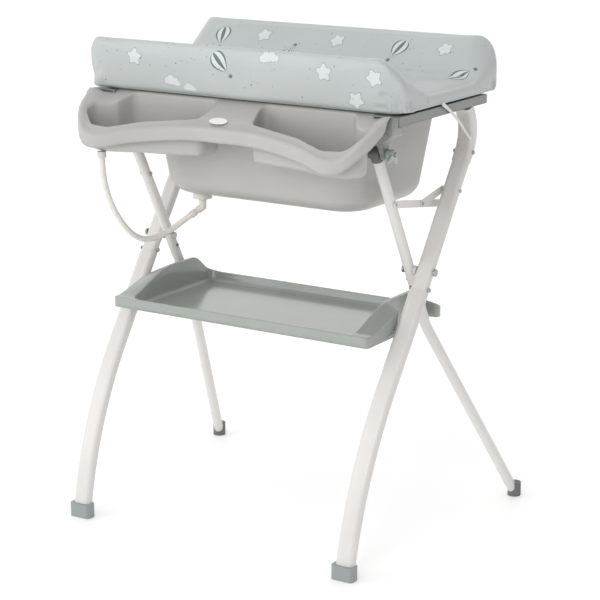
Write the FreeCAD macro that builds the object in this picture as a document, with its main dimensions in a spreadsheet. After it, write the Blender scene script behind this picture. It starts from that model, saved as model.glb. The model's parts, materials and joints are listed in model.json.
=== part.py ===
import FreeCAD, Part
import math
import os
import Sketcher
from FreeCAD import Placement, Rotation, Vector

# Folding changing table with a baby bath under the mat.
# Millimetres. X runs along the long side, +X is the right-hand end, the front faces -Y, +Z is up.
# The origin is on the floor in the middle of the four feet.
# Side-view places are (y, z) with y counted from the leg pivot, which lies "pivot_back" behind the origin.

doc = FreeCAD.newDocument("changing_table")

SIZES = {
    # legs
    "pivot_up": 563.7, "pivot_back": -12.25,
    "outer_leg_x": 337, "outer_foot_x": 327, "outer_wide": 41.5, "outer_deep": 21.5,
    "outer_upper_wide": 38.1, "outer_upper_deep": 18.1, "outer_wall": 1.5,
    "outer_lean": 35.2, "outer_bend_up": 353, "outer_foot_y": -294, "outer_seam_up": 528,
    "elbow_up": 785, "elbow_bend": 75, "elbow_turn": 80, "elbow_overlap": 22,
    "outer_foot_wide": 50, "outer_foot_deep": 28, "outer_foot_tall": 30,
    "inner_leg_x": 300, "inner_foot_x": 394.6, "inner_foot_y": 318, "inner_dia": 22, "inner_wall": 1.5,
    "inner_lean": 28.3, "inner_top_up": 825, "inner_seam_up": 528, "inner_bend_up": 428,
    "inner_bend": 140, "swage_dia": 18.6, "swage_long": 24, "inner_foot_dia": 29, "inner_foot_tall": 30,
    # pivots and fasteners
    "pivot_bolt_dia": 8, "pivot_head_dia": 15, "pivot_head_thick": 3.5, "hinge_bolt_dia": 6,
    "bolt_dia": 5, "bolt_head_dia": 9, "bolt_head_thick": 2.2, "running_gap": 0.1,
    # locking stay on the right-hand side
    "stay_up": 713, "stay_mid_y": 23, "stay_mid_up": 697, "stay_tall": 15, "stay_thick": 1.8,
    "stay_front_x": 311.6, "stay_rear_x": 313.9, "stay_tail": 84, "rivet_dia": 5, "rivet_head_dia": 8,
    # shelf
    "shelf_x": 312.4, "shelf_front": -187, "shelf_rear": 118, "shelf_top": 464, "shelf_rim": 22,
    "shelf_wall": 3, "shelf_notch_x": 281, "shelf_notch_front": -58, "shelf_notch_rear": 100,
    "shelf_arch_front": -161, "shelf_arch_rear": 118, "shelf_arch_top": 512, "shelf_hook_y": -81, "shelf_hook_up": 453,
    # top frame
    "rail_in": 311, "rail_out": 368, "rail_low": 884, "rail_tall": 18, "rail_wall": 2,
    "rail_front": -170, "rail_rear": 193, "bracket_in": 314.5, "bracket_out": 325, "cross_reach": 338,
    "cross_dia": 12, "front_cross_y": -142.5, "front_cross_up": 862, "rear_cross_y": 186, "rear_cross_up": 890.5,
    # bath
    "tub_low": 683, "tub_rim": 902, "tub_wall": 3, "tub_top_x": 281, "tub_low_x": 247,
    "tub_top_front": -135, "tub_top_rear": 170, "tub_low_front": -112, "tub_low_rear": 150,
    "tub_front_round": 80, "tub_rear_round": 38, "flange_x": 335,
    "flange_thick": 3, "flange_rear": 173, "deck_back": -150, "deck_front": -292, "deck_front_up": 831.5,
    "skirt_tall": 30.5, "wing_x": 360, "wing_back": -193, "cup_low": 790,
    "drain_x": -170, "drain_y": -57, "drain_hole": 28, "hose_dia": 12,
    # mat
    "mat_x": 372.8, "mat_front": -165, "mat_rear": 251, "mat_low": 906.6, "board_thick": 3,
    "board_inset": 14, "pad_end": 27,
    "bolster_foot": 104, "peak_x": 334, "peak_wide": 16, "front_peak_y": -182,
    "front_peak_up": 1006, "rear_peak_y": 260, "rear_peak_up": 1010,
    "hinge_x": 250, "hinge_wide": 30, "hinge_ring": 18, "strap_wide": 11, "strap_thick": 1.4,
}

sheet = doc.addObject("Spreadsheet::Sheet", "sizes")
for row, (alias, value) in enumerate(SIZES.items(), start=1):
    sheet.set("A%d" % row, alias)
    sheet.set("B%d" % row, str(value))
    sheet.setAlias("B%d" % row, alias)
doc.recompute()

SIDES = (("left", -1), ("right", 1))
nodes = []


def cell(alias):
    """The number in one cell of the sheet."""
    return float(sheet.get(alias))


def bind(thing, **sizes):
    """Bind properties of an object to expressions in cells of the sheet."""
    for name, expression in sizes.items():
        thing.setExpression(name, "sizes." + expression if expression in SIZES else expression)
    return thing


def spot(x, y, z):
    """A point given by x, and by (y, z) in the side view counted from the leg pivot's line."""
    return Vector(x, y + cell("pivot_back"), z)


def towards(direction, base):
    """A placement at base whose own +Z points along direction."""
    return Placement(base, Rotation(Vector(0, 0, 1), direction))


def keep(thing, label):
    """Give a finished sub-part the label that names its file."""
    thing.Label = label
    nodes.append(thing)
    return thing


def cylinder(name, base, direction, **sizes):
    thing = bind(doc.addObject("Part::Cylinder", name), **sizes)
    thing.Placement = towards(direction, base)
    return thing


def block(name, low, **sizes):
    thing = bind(doc.addObject("Part::Box", name), **sizes)
    thing.Placement = Placement(low, Rotation())
    return thing


def cut(name, base, tool):
    thing = doc.addObject("Part::Cut", name)
    thing.Base, thing.Tool = base, tool
    return thing


def fuse(name, pieces):
    thing = doc.addObject("Part::MultiFuse", name)
    thing.Shapes = pieces
    return thing


def group(name, pieces):
    """Separate solids that share one node."""
    thing = doc.addObject("Part::Compound", name)
    thing.Links = pieces
    return thing


def flat_oval(name, wide, deep, place):
    """A sketch of a flat oval: two straight sides joined by half circles, bound to width and depth."""
    sketch = doc.addObject("Sketcher::SketchObject", name)
    radius, reach = 5.0, 10.0
    sketch.addGeometry(Part.LineSegment(Vector(-reach, radius, 0), Vector(reach, radius, 0)))
    sketch.addGeometry(Part.LineSegment(Vector(reach, -radius, 0), Vector(-reach, -radius, 0)))
    right = Part.Circle(Vector(reach, 0, 0), Vector(0, 0, 1), radius)
    left = Part.Circle(Vector(-reach, 0, 0), Vector(0, 0, 1), radius)
    sketch.addGeometry(Part.ArcOfCircle(right, -math.pi / 2, math.pi / 2))
    sketch.addGeometry(Part.ArcOfCircle(left, math.pi / 2, 3 * math.pi / 2))
    for first, end, second, start in ((0, 2, 2, 2), (2, 1, 1, 1), (1, 2, 3, 2), (3, 1, 0, 1)):
        sketch.addConstraint(Sketcher.Constraint("Tangent", first, end, second, start))
    sketch.addConstraint(Sketcher.Constraint("Horizontal", 0))
    sketch.addConstraint(Sketcher.Constraint("Symmetric", 2, 3, 3, 3, -1, 1))
    sketch.addConstraint(Sketcher.Constraint("Equal", 2, 3))
    radius_at = sketch.addConstraint(Sketcher.Constraint("Radius", 2, radius))
    reach_at = sketch.addConstraint(Sketcher.Constraint("Distance", 0, 2 * reach))
    sketch.setExpression("Constraints[%d]" % radius_at, "(%s) / 2" % deep)
    sketch.setExpression("Constraints[%d]" % reach_at, "(%s) - (%s)" % (wide, deep))
    sketch.Placement = place
    return sketch


def ring_sketch(name, radius, place):
    sketch = doc.addObject("Sketcher::SketchObject", name)
    sketch.addGeometry(Part.Circle(Vector(0, 0, 0), Vector(0, 0, 1), 5))
    sketch.addConstraint(Sketcher.Constraint("Coincident", 0, 3, -1, 1))
    radius_at = sketch.addConstraint(Sketcher.Constraint("Radius", 0, 5))
    sketch.setExpression("Constraints[%d]" % radius_at, radius)
    sketch.Placement = place
    return sketch


def path(name, edges):
    thing = doc.addObject("Part::Feature", name)
    thing.Shape = Part.Wire(edges)
    return thing


def sweep(name, profile, spine):
    thing = doc.addObject("Part::Sweep", name)
    thing.Sections = [profile]
    thing.Spine = (spine, ["Edge%d" % (index + 1) for index in range(len(spine.Shape.Edges))])
    thing.Solid = True
    thing.Frenet = False
    return thing


def extrude(name, profile, direction, length):
    thing = doc.addObject("Part::Extrusion", name)
    thing.Base, thing.DirMode, thing.Dir, thing.Solid = profile, "Custom", direction, True
    return bind(thing, LengthFwd=length)


def outline(name, points, rounds=None):
    """A closed wire through points, with an arc of the given radius at each corner."""
    rounds = rounds or [0] * len(points)
    edges, count, ends = [], len(points), []
    for index in range(count):
        before, corner, after = points[index - 1], points[index], points[(index + 1) % count]
        radius = rounds[index]
        back, on = (before - corner).normalize(), (after - corner).normalize()
        if radius == 0:
            ends.append((corner, None, corner))
            continue
        half = back.getAngle(on) / 2
        trim = radius / math.tan(half)
        middle = (back + on).normalize()
        ends.append((corner + back * trim,
                     corner + middle * (radius / math.sin(half) - radius),
                     corner + on * trim))
    for index in range(count):
        start, middle, end = ends[index]
        if middle is not None:
            edges.append(Part.Arc(start, middle, end).toShape())
        following = ends[(index + 1) % count][0]
        if (following - end).Length > 1e-6:
            edges.append(Part.LineSegment(end, following).toShape())
    thing = doc.addObject("Part::Feature", name)
    thing.Shape = Part.Face(Part.Wire(edges))
    return thing


def side_profile(name, x, points, rounds=None):
    """A face in a plane of constant x through (y, z) points."""
    return outline(name, [spot(x, y, z) for y, z in points], rounds)


def plan_profile(name, z, points, rounds=None):
    """A face in a level plane through (x, y) points."""
    return outline(name, [spot(x, y, z) for x, y in points], rounds)


# Directions and key points in the side view

def lean(degrees):
    """Unit (y, z) of a line that leans back by an angle from the vertical."""
    return math.sin(math.radians(degrees)), math.cos(math.radians(degrees))


OUTER_Y, OUTER_Z = lean(cell("outer_lean"))
INNER_Y, INNER_Z = lean(-cell("inner_lean"))
ALONG_OUTER = Vector(0, OUTER_Y, OUTER_Z)
ALONG_INNER = Vector(0, INNER_Y, INNER_Z)
ACROSS = Vector(1, 0, 0)
UP = Vector(0, 0, 1)


def outer_y(z):
    """Where the outer leg's straight stretch is at a height."""
    return (z - cell("pivot_up")) * OUTER_Y / OUTER_Z


def inner_y(z):
    """Where the inner leg's straight stretch is at a height."""
    return (z - cell("pivot_up")) * INNER_Y / INNER_Z


# Outer legs: flat-oval steel tube in a curved lower piece, a straight upper piece and a top elbow

def oval_faces(name, wide, deep, start, direction, bore_start):
    """The outer and inner flat ovals of a tube, the broad face across X."""
    turn = Rotation(Vector(1, 0, 0), direction.cross(Vector(1, 0, 0)) * -1, direction, "ZXY")
    wall = "2 * sizes.outer_wall"
    return (flat_oval(name + "_outline", wide, deep, Placement(start, turn)),
            flat_oval(name + "_inline", "%s - %s" % (wide, wall), "%s - %s" % (deep, wall),
                      Placement(bore_start, turn)))


def oval_tube(name, wide, deep, start, direction, spine):
    """A hollow flat-oval tube along a spine."""
    outline, inline = oval_faces(name, wide, deep, start, direction, start)
    return cut(name, sweep(name + "_outside", outline, spine), sweep(name + "_bore", inline, spine))


def straight_oval_tube(name, wide, deep, start, end):
    """A hollow flat-oval tube from start to end; the bore runs past both ends."""
    direction, long = (end - start).normalize(), (end - start).Length
    outline, inline = oval_faces(name, wide, deep, start, direction, start - direction)
    return cut(name, extrude(name + "_outside", outline, direction, "%f" % long),
               extrude(name + "_bore", inline, direction, "%f" % (long + 2)))


def outer_leg(side, sign):
    x = sign * cell("outer_leg_x")
    seam, bend = cell("outer_seam_up"), cell("outer_bend_up")
    start = spot(x, outer_y(seam), seam)
    bend_point = spot(x, outer_y(bend), bend)
    foot_lift = 6
    foot = spot(x, cell("outer_foot_y"), foot_lift)
    chord = foot - bend_point
    turn = chord.getAngle(ALONG_OUTER * -1)
    middle = (foot + bend_point) * 0.5
    bulge = chord.Length / 2 * math.tan(turn / 2)
    outwards = Vector(0, -chord.z, chord.y).normalize()
    if outwards.y > 0:
        outwards = outwards * -1
    spine = path("outer_spine_" + side, [
        Part.LineSegment(start, bend_point).toShape(),
        Part.Arc(bend_point, middle + outwards * bulge, foot).toShape()])
    lower = oval_tube("outer_lower_" + side, "sizes.outer_wide", "sizes.outer_deep",
                      start, ALONG_OUTER * -1, spine)
    toe_in = math.degrees(math.atan2(cell("outer_leg_x") - cell("outer_foot_x"), seam))
    swing = Placement(Vector(0, 0, 0), Rotation(Vector(0, 1, 0), sign * toe_in), start)
    lower.Placement = swing
    keep(lower, "outer_leg_lower_" + side)

    low_end, high_end = seam - 22, cell("elbow_up") - 2
    upper_start = spot(x, outer_y(low_end), low_end)
    upper_end = spot(x, outer_y(high_end), high_end)
    keep(straight_oval_tube("outer_upper_" + side, "sizes.outer_upper_wide", "sizes.outer_upper_deep",
                            upper_start, upper_end), "outer_leg_upper_" + side)

    elbow = cell("elbow_up")
    radius, turn = cell("elbow_bend"), math.radians(cell("elbow_turn"))
    elbow_start = spot(x, outer_y(elbow), elbow) - ALONG_OUTER * cell("elbow_overlap")
    arc_start = spot(x, outer_y(elbow), elbow)
    inwards = Vector(0, -OUTER_Z, OUTER_Y)
    centre = arc_start + inwards * radius

    def on_arc(angle):
        return centre - inwards * radius * math.cos(angle) + ALONG_OUTER * radius * math.sin(angle)

    elbow_spine = path("elbow_spine_" + side, [
        Part.LineSegment(elbow_start, arc_start).toShape(),
        Part.Arc(arc_start, on_arc(turn / 2), on_arc(turn)).toShape()])
    keep(oval_tube("elbow_" + side, "sizes.outer_wide", "sizes.outer_deep",
                   elbow_start, ALONG_OUTER, elbow_spine), "outer_leg_elbow_" + side)

    foot_x = sign * cell("outer_foot_x")
    cap = block("outer_foot_block_" + side,
                spot(foot_x - cell("outer_foot_wide") / 2, cell("outer_foot_y") - cell("outer_foot_deep") / 2, 0),
                Length="outer_foot_wide", Width="outer_foot_deep", Height="outer_foot_tall")
    rounded = doc.addObject("Part::Fillet", "outer_foot_rounded_" + side)
    doc.recompute()
    rounded.Base = cap
    upright = [index + 1 for index, edge in enumerate(cap.Shape.Edges)
               if abs(edge.tangentAt(edge.FirstParameter).z) > 0.9]
    rounded.Edges = [(index, 8.0, 8.0) for index in upright]
    keep(cut("outer_foot_cut_" + side, rounded, lower), "outer_foot_" + side)


# Inner legs: round steel tube, straight above and splayed below, with a plastic socket at the top

def round_tube(name, radius, wall, start, direction, spine):
    place = towards(direction, start)
    outer = sweep(name + "_outside", ring_sketch(name + "_outline", radius, place), spine)
    bore = sweep(name + "_bore", ring_sketch(name + "_inline", "%s - %s" % (radius, wall), place), spine)
    return cut(name, outer, bore)


def inner_leg(side, sign):
    x, radius = sign * cell("inner_leg_x"), "sizes.inner_dia / 2"
    seam, top = cell("inner_seam_up"), cell("inner_top_up")
    hinge = spot(x, inner_y(top), top)
    top_end = hinge - ALONG_INNER * 12
    seam_point = spot(x, inner_y(seam), seam)
    upper_spine = path("inner_upper_spine_" + side, [Part.LineSegment(seam_point, top_end).toShape()])
    keep(round_tube("inner_upper_" + side, radius, "sizes.inner_wall", seam_point, ALONG_INNER, upper_spine),
         "inner_leg_upper_" + side)

    bend = spot(x, inner_y(cell("inner_bend_up")), cell("inner_bend_up"))
    foot = spot(sign * cell("inner_foot_x"), cell("inner_foot_y"), 8)
    down, out = (bend - seam_point).normalize(), (foot - bend).normalize()
    half = (math.pi - down.getAngle(out)) / 2
    trim = cell("inner_bend") / math.tan(half)
    middle = (out - down).normalize() * (cell("inner_bend") / math.sin(half) - cell("inner_bend"))
    spine = path("inner_spine_" + side, [
        Part.LineSegment(seam_point, bend - down * trim).toShape(),
        Part.Arc(bend - down * trim, bend + middle, bend + out * trim).toShape(),
        Part.LineSegment(bend + out * trim, foot).toShape()])
    lower = round_tube("inner_lower_" + side, radius, "sizes.inner_wall", seam_point, ALONG_INNER * -1, spine)
    swage = cylinder("swage_solid_" + side, seam_point - ALONG_INNER * 6, ALONG_INNER,
                     Radius="sizes.swage_dia / 2", Height="sizes.swage_long")
    shoulder = cylinder("swage_shoulder_" + side, seam_point - ALONG_INNER * 6, ALONG_INNER,
                        Radius="sizes.inner_dia / 2 - sizes.inner_wall / 2", Height="6")
    swage_bore = cylinder("swage_bore_" + side, seam_point - ALONG_INNER * 8, ALONG_INNER,
                          Radius="sizes.swage_dia / 2 - sizes.inner_wall", Height="sizes.swage_long + 4")
    neck = cut("swage_" + side, fuse("swage_outside_" + side, [swage, shoulder]), swage_bore)
    keep(fuse("inner_lower_whole_" + side, [lower, neck]), "inner_leg_lower_" + side)

    foot_base = Vector(foot.x, foot.y, 0)
    cap = cylinder("inner_foot_solid_" + side, foot_base, UP, Radius="sizes.inner_foot_dia / 2",
                   Height="inner_foot_tall")
    tube_room = cylinder("inner_foot_room_" + side, foot, out * -1, Radius=radius, Height="3 * sizes.inner_foot_tall")
    keep(cut("inner_foot_cut_" + side, cap, tube_room), "inner_foot_" + side)

    sleeve = cylinder("socket_sleeve_" + side, hinge - ALONG_INNER * 18, ALONG_INNER, Radius="13", Height="18")
    eye = cylinder("socket_eye_" + side, hinge - ACROSS * 13, ACROSS, Radius="13", Height="26")
    room = cylinder("socket_room_" + side, hinge - ALONG_INNER * 40, ALONG_INNER, Radius=radius, Height="28")
    bolt_room = cylinder("socket_bolt_room_" + side, hinge - ACROSS * 20, ACROSS,
                         Radius="sizes.hinge_bolt_dia / 2 + sizes.running_gap / 2", Height="40")
    solid = fuse("socket_solid_" + side, [sleeve, eye])
    keep(cut("socket_" + side, cut("socket_open_" + side, solid, room), bolt_room), "top_socket_" + side)


# Bolts: a shank along X with a low round head at each end

def cross_bolt(name, x_low, x_high, y, z, dia, head_dia, head_thick):
    """A rivet-like bolt from x_low to x_high, its heads standing outside that span."""
    shank = cylinder(name + "_shank", spot(x_low, y, z), ACROSS, Radius="%s / 2" % dia,
                     Height="%f" % (x_high - x_low))
    low = cylinder(name + "_low_head", spot(x_low, y, z), ACROSS * -1, Radius="%s / 2" % head_dia,
                   Height=head_thick)
    high = cylinder(name + "_high_head", spot(x_high, y, z), ACROSS, Radius="%s / 2" % head_dia,
                    Height=head_thick)
    return fuse(name, [shank, low, high])


def drill(thing, name, x_low, x_high, y, z, dia, gap="0"):
    hole = cylinder(name + "_hole", spot(x_low, y, z), ACROSS, Radius="(%s + %s) / 2" % (dia, gap),
                    Height="%f" % (x_high - x_low))
    return cut(name, thing, hole)


def span(sign, near, far):
    """An x range on one side, lowest first, from distances to the middle plane."""
    return (near, far) if sign > 0 else (-far, -near)


def replace(label, make):
    """Swap a finished sub-part for a worked version of itself."""
    index = [thing.Label for thing in nodes].index(label)
    old = nodes[index]
    old.Label = label + "_raw"
    new = make(old)
    new.Label = label
    nodes[index] = new


def add_bolts():
    leg, inner = cell("outer_leg_x"), cell("inner_leg_x")
    half_wide, radius = cell("outer_wide") / 2, cell("inner_dia") / 2
    elbow, guard = cell("elbow_up"), 532
    outer_bolts, inner_bolts, pivots, hinges = [], [], [], []
    for side, sign in SIDES:
        low, high = span(sign, leg - half_wide, leg + half_wide)
        for tag, up, label in (("elbow", elbow, "outer_leg_elbow_" + side),
                               ("guard", guard, "outer_leg_lower_" + side)):
            name = "outer_%s_bolt_%s" % (tag, side)
            outer_bolts.append(cross_bolt(name, low, high, outer_y(up), up, "sizes.bolt_dia",
                                          "sizes.bolt_head_dia", "sizes.bolt_head_thick"))
            for target in (label, "outer_leg_upper_" + side):
                replace(target, lambda old, n=name + target: drill(
                    old, n, low - 5, high + 5, outer_y(up), up, "sizes.bolt_dia"))
        stay_up = cell("stay_up")
        low, high = span(sign, inner - radius, inner + radius)
        if sign < 0:
            inner_bolts.append(cross_bolt("inner_bolt_" + side, low, high, inner_y(stay_up), stay_up,
                                          "sizes.bolt_dia", "sizes.bolt_head_dia", "sizes.bolt_head_thick"))
            replace("inner_leg_upper_" + side, lambda old: drill(
                old, "inner_leg_stay_" + side, low - 5, high + 5, inner_y(stay_up), stay_up, "sizes.bolt_dia"))
        low, high = span(sign, inner - radius, leg + half_wide)
        pivots.append(cross_bolt("pivot_" + side, low - 0.3, high, 0, cell("pivot_up"),
                                 "sizes.pivot_bolt_dia", "sizes.pivot_head_dia", "sizes.pivot_head_thick"))
        for label, gap in (("outer_leg_lower_", "0"), ("outer_leg_upper_", "0"),
                           ("inner_leg_upper_", "2 * sizes.running_gap")):
            replace(label + side, lambda old, lab=label, g=gap: drill(
                old, lab + "pivot_" + side, low - 10, high + 10, 0, cell("pivot_up"),
                "sizes.pivot_bolt_dia", g))
        gap_low, gap_high = span(sign, inner + radius + 0.3, leg - cell("outer_upper_wide") / 2)
        washer = cylinder("pivot_washer_" + side, spot(gap_low, 0, cell("pivot_up")), ACROSS,
                          Radius="9", Height="%f" % (gap_high - gap_low))
        hinges.append(drill(washer, "pivot_washer_open_" + side, gap_low - 1, gap_high + 1, 0,
                            cell("pivot_up"), "sizes.pivot_bolt_dia"))
    keep(group("outer_bolts", outer_bolts), "outer_leg_bolts")
    keep(group("inner_bolts", inner_bolts), "inner_leg_bolt")
    keep(group("pivots", pivots), "pivot_bolts")
    keep(group("washers", hinges), "pivot_washers")
    buttons = [cylinder("button_" + side, spot(sign * (inner - radius + 3), inner_y(540), 540),
                        ACROSS * -sign, Radius="3.4", Height="4.5") for side, sign in SIDES]
    keep(group("buttons", buttons), "inner_leg_buttons")


# Locking stay between the two legs on the right-hand side

def stay_bar(label, x, ends, holes):
    """A flat bar with round ends in a plane of constant x."""
    start, end = spot(x, *ends[0]), spot(x, *ends[1])
    length, half = (end - start).Length, cell("stay_tall") / 2
    pieces = [cylinder(label + "_end_%d" % index, point, ACROSS, Radius="sizes.stay_tall / 2",
                       Height="sizes.stay_thick") for index, point in enumerate((start, end))]
    bar = block(label + "_bar", Vector(0, 0, 0), Length="stay_thick", Width="%f" % length, Height="stay_tall")
    angle = math.degrees(math.atan2(end.z - start.z, end.y - start.y))
    turn = Rotation(ACROSS, angle)
    bar.Placement = Placement(start - turn.multVec(Vector(0, 0, half)), turn)
    made = fuse(label + "_solid", pieces + [bar])
    for index, (y, z) in enumerate(holes):
        made = drill(made, label + "_open_%d" % index, x - 3, x + 6, y, z, "sizes.rivet_dia",
                     "2 * sizes.running_gap")
    return keep(made, label)


def add_stay():
    up, mid = cell("stay_up"), (cell("stay_mid_y"), cell("stay_mid_up"))
    front, rear = (inner_y(up), up), (outer_y(up), up)
    slope = math.atan2(mid[1] - front[1], mid[0] - front[0])
    tail = (mid[0] + cell("stay_tail") * math.cos(slope), mid[1] + cell("stay_tail") * math.sin(slope))
    stay_bar("stay_front", cell("stay_front_x"), (front, tail), (front, mid))
    stay_bar("stay_rear", cell("stay_rear_x"), (mid, rear), (mid, rear))
    inner, radius = cell("inner_leg_x"), cell("inner_dia") / 2
    leg, half = cell("outer_leg_x"), cell("outer_wide") / 2
    past = cell("stay_front_x") + cell("stay_thick") + 0.1
    front_rivet = cross_bolt("front_rivet", inner - radius, past, front[0], up, "sizes.rivet_dia",
                             "sizes.rivet_head_dia", "0.3")
    replace("inner_leg_upper_right", lambda old: drill(
        old, "inner_leg_stay_right", inner - 20, inner + 20, front[0], up, "sizes.rivet_dia"))
    keep(front_rivet, "stay_front_rivet")
    rear_rivet = cross_bolt("rear_rivet", cell("stay_rear_x") - 0.1, leg + half, rear[0], up,
                            "sizes.rivet_dia", "sizes.rivet_head_dia", "0.3")
    replace("outer_leg_upper_right", lambda old: drill(
        old, "outer_stay_open", leg - half - 4, leg + half + 6, rear[0], up, "sizes.rivet_dia"))
    keep(rear_rivet, "stay_rear_rivet")
    stud = cylinder("mid_stud_shank", spot(cell("stay_front_x"), *mid), ACROSS, Radius="sizes.rivet_dia / 2",
                    Height="sizes.stay_thick")
    stud_head = cylinder("mid_stud_head", spot(cell("stay_front_x"), *mid), ACROSS * -1,
                         Radius="sizes.rivet_head_dia / 2", Height="0.5")
    keep(fuse("mid_stud", [stud, stud_head]), "stay_middle_stud")
    cap_base = spot(cell("stay_rear_x"), *mid)
    cap = cylinder("mid_cap_shank", cap_base, ACROSS, Radius="sizes.rivet_dia / 2", Height="sizes.stay_thick")
    cap_head = cylinder("mid_cap_head", cap_base + ACROSS * cell("stay_thick"), ACROSS,
                        Radius="sizes.rivet_head_dia / 2", Height="0.8")
    keep(fuse("mid_cap", [cap, cap_head]), "stay_middle_cap")


# Shelf: one moulded tray whose arched end walls leave a recess for each inner leg

def add_shelf():
    wall, top, rim = cell("shelf_wall"), cell("shelf_top"), cell("shelf_rim")
    x, front, rear = cell("shelf_x"), cell("shelf_front"), cell("shelf_rear")
    notch_x, notch_front, notch_rear = cell("shelf_notch_x"), cell("shelf_notch_front"), cell("shelf_notch_rear")

    def plan(name, inset, low):
        points, rounds = [], []
        for sign in (1, -1):
            corner = [(sign * (x - inset), front + inset), (sign * (x - inset), notch_front - inset),
                      (sign * (notch_x - inset), notch_front - inset),
                      (sign * (notch_x - inset), notch_rear + inset),
                      (sign * (x - inset), notch_rear + inset), (sign * (x - inset), rear - inset)]
            radii = [8, 0, 3, 3, 0, 4]
            points += corner if sign > 0 else corner[::-1]
            rounds += radii if sign > 0 else radii[::-1]
        return plan_profile(name, low, points, rounds)

    outside = extrude("shelf_outside", plan("shelf_plan", 0, top - rim), UP, "sizes.shelf_rim")
    inside = extrude("shelf_inside", plan("shelf_inner_plan", wall, top - rim + wall), UP, "2 * sizes.shelf_rim")
    tray = cut("shelf_open", outside, inside)
    arches = []
    for side, sign in SIDES:
        low, high = span(sign, notch_x - wall, notch_x)
        arch_front, arch_rear, arch_top = cell("shelf_arch_front"), cell("shelf_arch_rear"), cell("shelf_arch_top")
        points = [(arch_front, top - rim), (arch_front, top - 1), (-92, arch_top - 16), (-30, arch_top),
                  (38, arch_top), (arch_rear - 40, arch_top - 20), (notch_rear + 3, top - rim)]
        profile = side_profile("shelf_arch_profile_" + side, low, points, [0, 8, 40, 60, 60, 20, 0])
        arches.append(extrude("shelf_arch_" + side, profile, ACROSS, "sizes.shelf_wall"))
        for tag, y_wall in (("front", notch_front - wall), ("rear", notch_rear)):
            tall = 26 if tag == "front" else 14
            outer_x, inner_x = sign * x, sign * (notch_x - wall)
            face = outline("shelf_cheek_face_%s_%s" % (tag, side), [
                spot(inner_x, y_wall, top - 2), spot(outer_x, y_wall, top - 2), spot(inner_x, y_wall, top + tall)])
            arches.append(extrude("shelf_cheek_%s_%s" % (tag, side), face, Vector(0, 1, 0), "sizes.shelf_wall"))
        ledge_low = min(sign * (notch_x - wall), sign * x)
        ledge = block("shelf_ledge_" + side, spot(ledge_low, front + 4, top - wall), Height="shelf_wall")
        ledge.setExpression("Length", "sizes.shelf_x - sizes.shelf_notch_x + sizes.shelf_wall")
        ledge.setExpression("Width", "sizes.shelf_notch_front - sizes.shelf_front - 4")
        arches.append(ledge)
    keep(fuse("shelf_whole", [tray] + arches), "shelf_tray")
    pins = []
    for side, sign in SIDES:
        hook = cell("shelf_hook_y")
        low, high = span(sign, x - wall - 2, cell("outer_leg_x") - cell("outer_wide") / 2 + 2)
        pins.append(cross_bolt("shelf_pin_" + side, low, high, hook, cell("shelf_hook_up"), "6", "9",
                               "1.2"))
    for side, sign in SIDES:
        low, high = span(sign, x - wall - 4, cell("outer_leg_x"))
        for label in ("shelf_tray", "outer_leg_lower_" + side):
            replace(label, lambda old, n=label + side: drill(
                old, n + "_pin_room", low, high + 1, cell("shelf_hook_y"), cell("shelf_hook_up"), "9.2"))
    keep(group("shelf_pin_group", pins), "shelf_pins")


# Top frame: channel rails, curved brackets that reach down to the inner legs, and cross tubes

# The bracket's level sections from the rail's front end down to the hinge: z, front, rear, inner and outer x
BRACKET_RINGS = [(902, -184, -170.3, 345, 368), (892, -190, -170.3, 345, 368),
                 (883.8, -190, -170.3, 343, 367), (880, -190, -150, 342, 366), (868, -185, -135, 335, 361),
                 (859, -178, -135, 325, 348), (851, -172, -135, 317, 333.5), (840, -164, -133, 314.5, 326),
                 (833, -158, -130, 314.5, 325), (814, -150, -128, 314.5, 325)]


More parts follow.
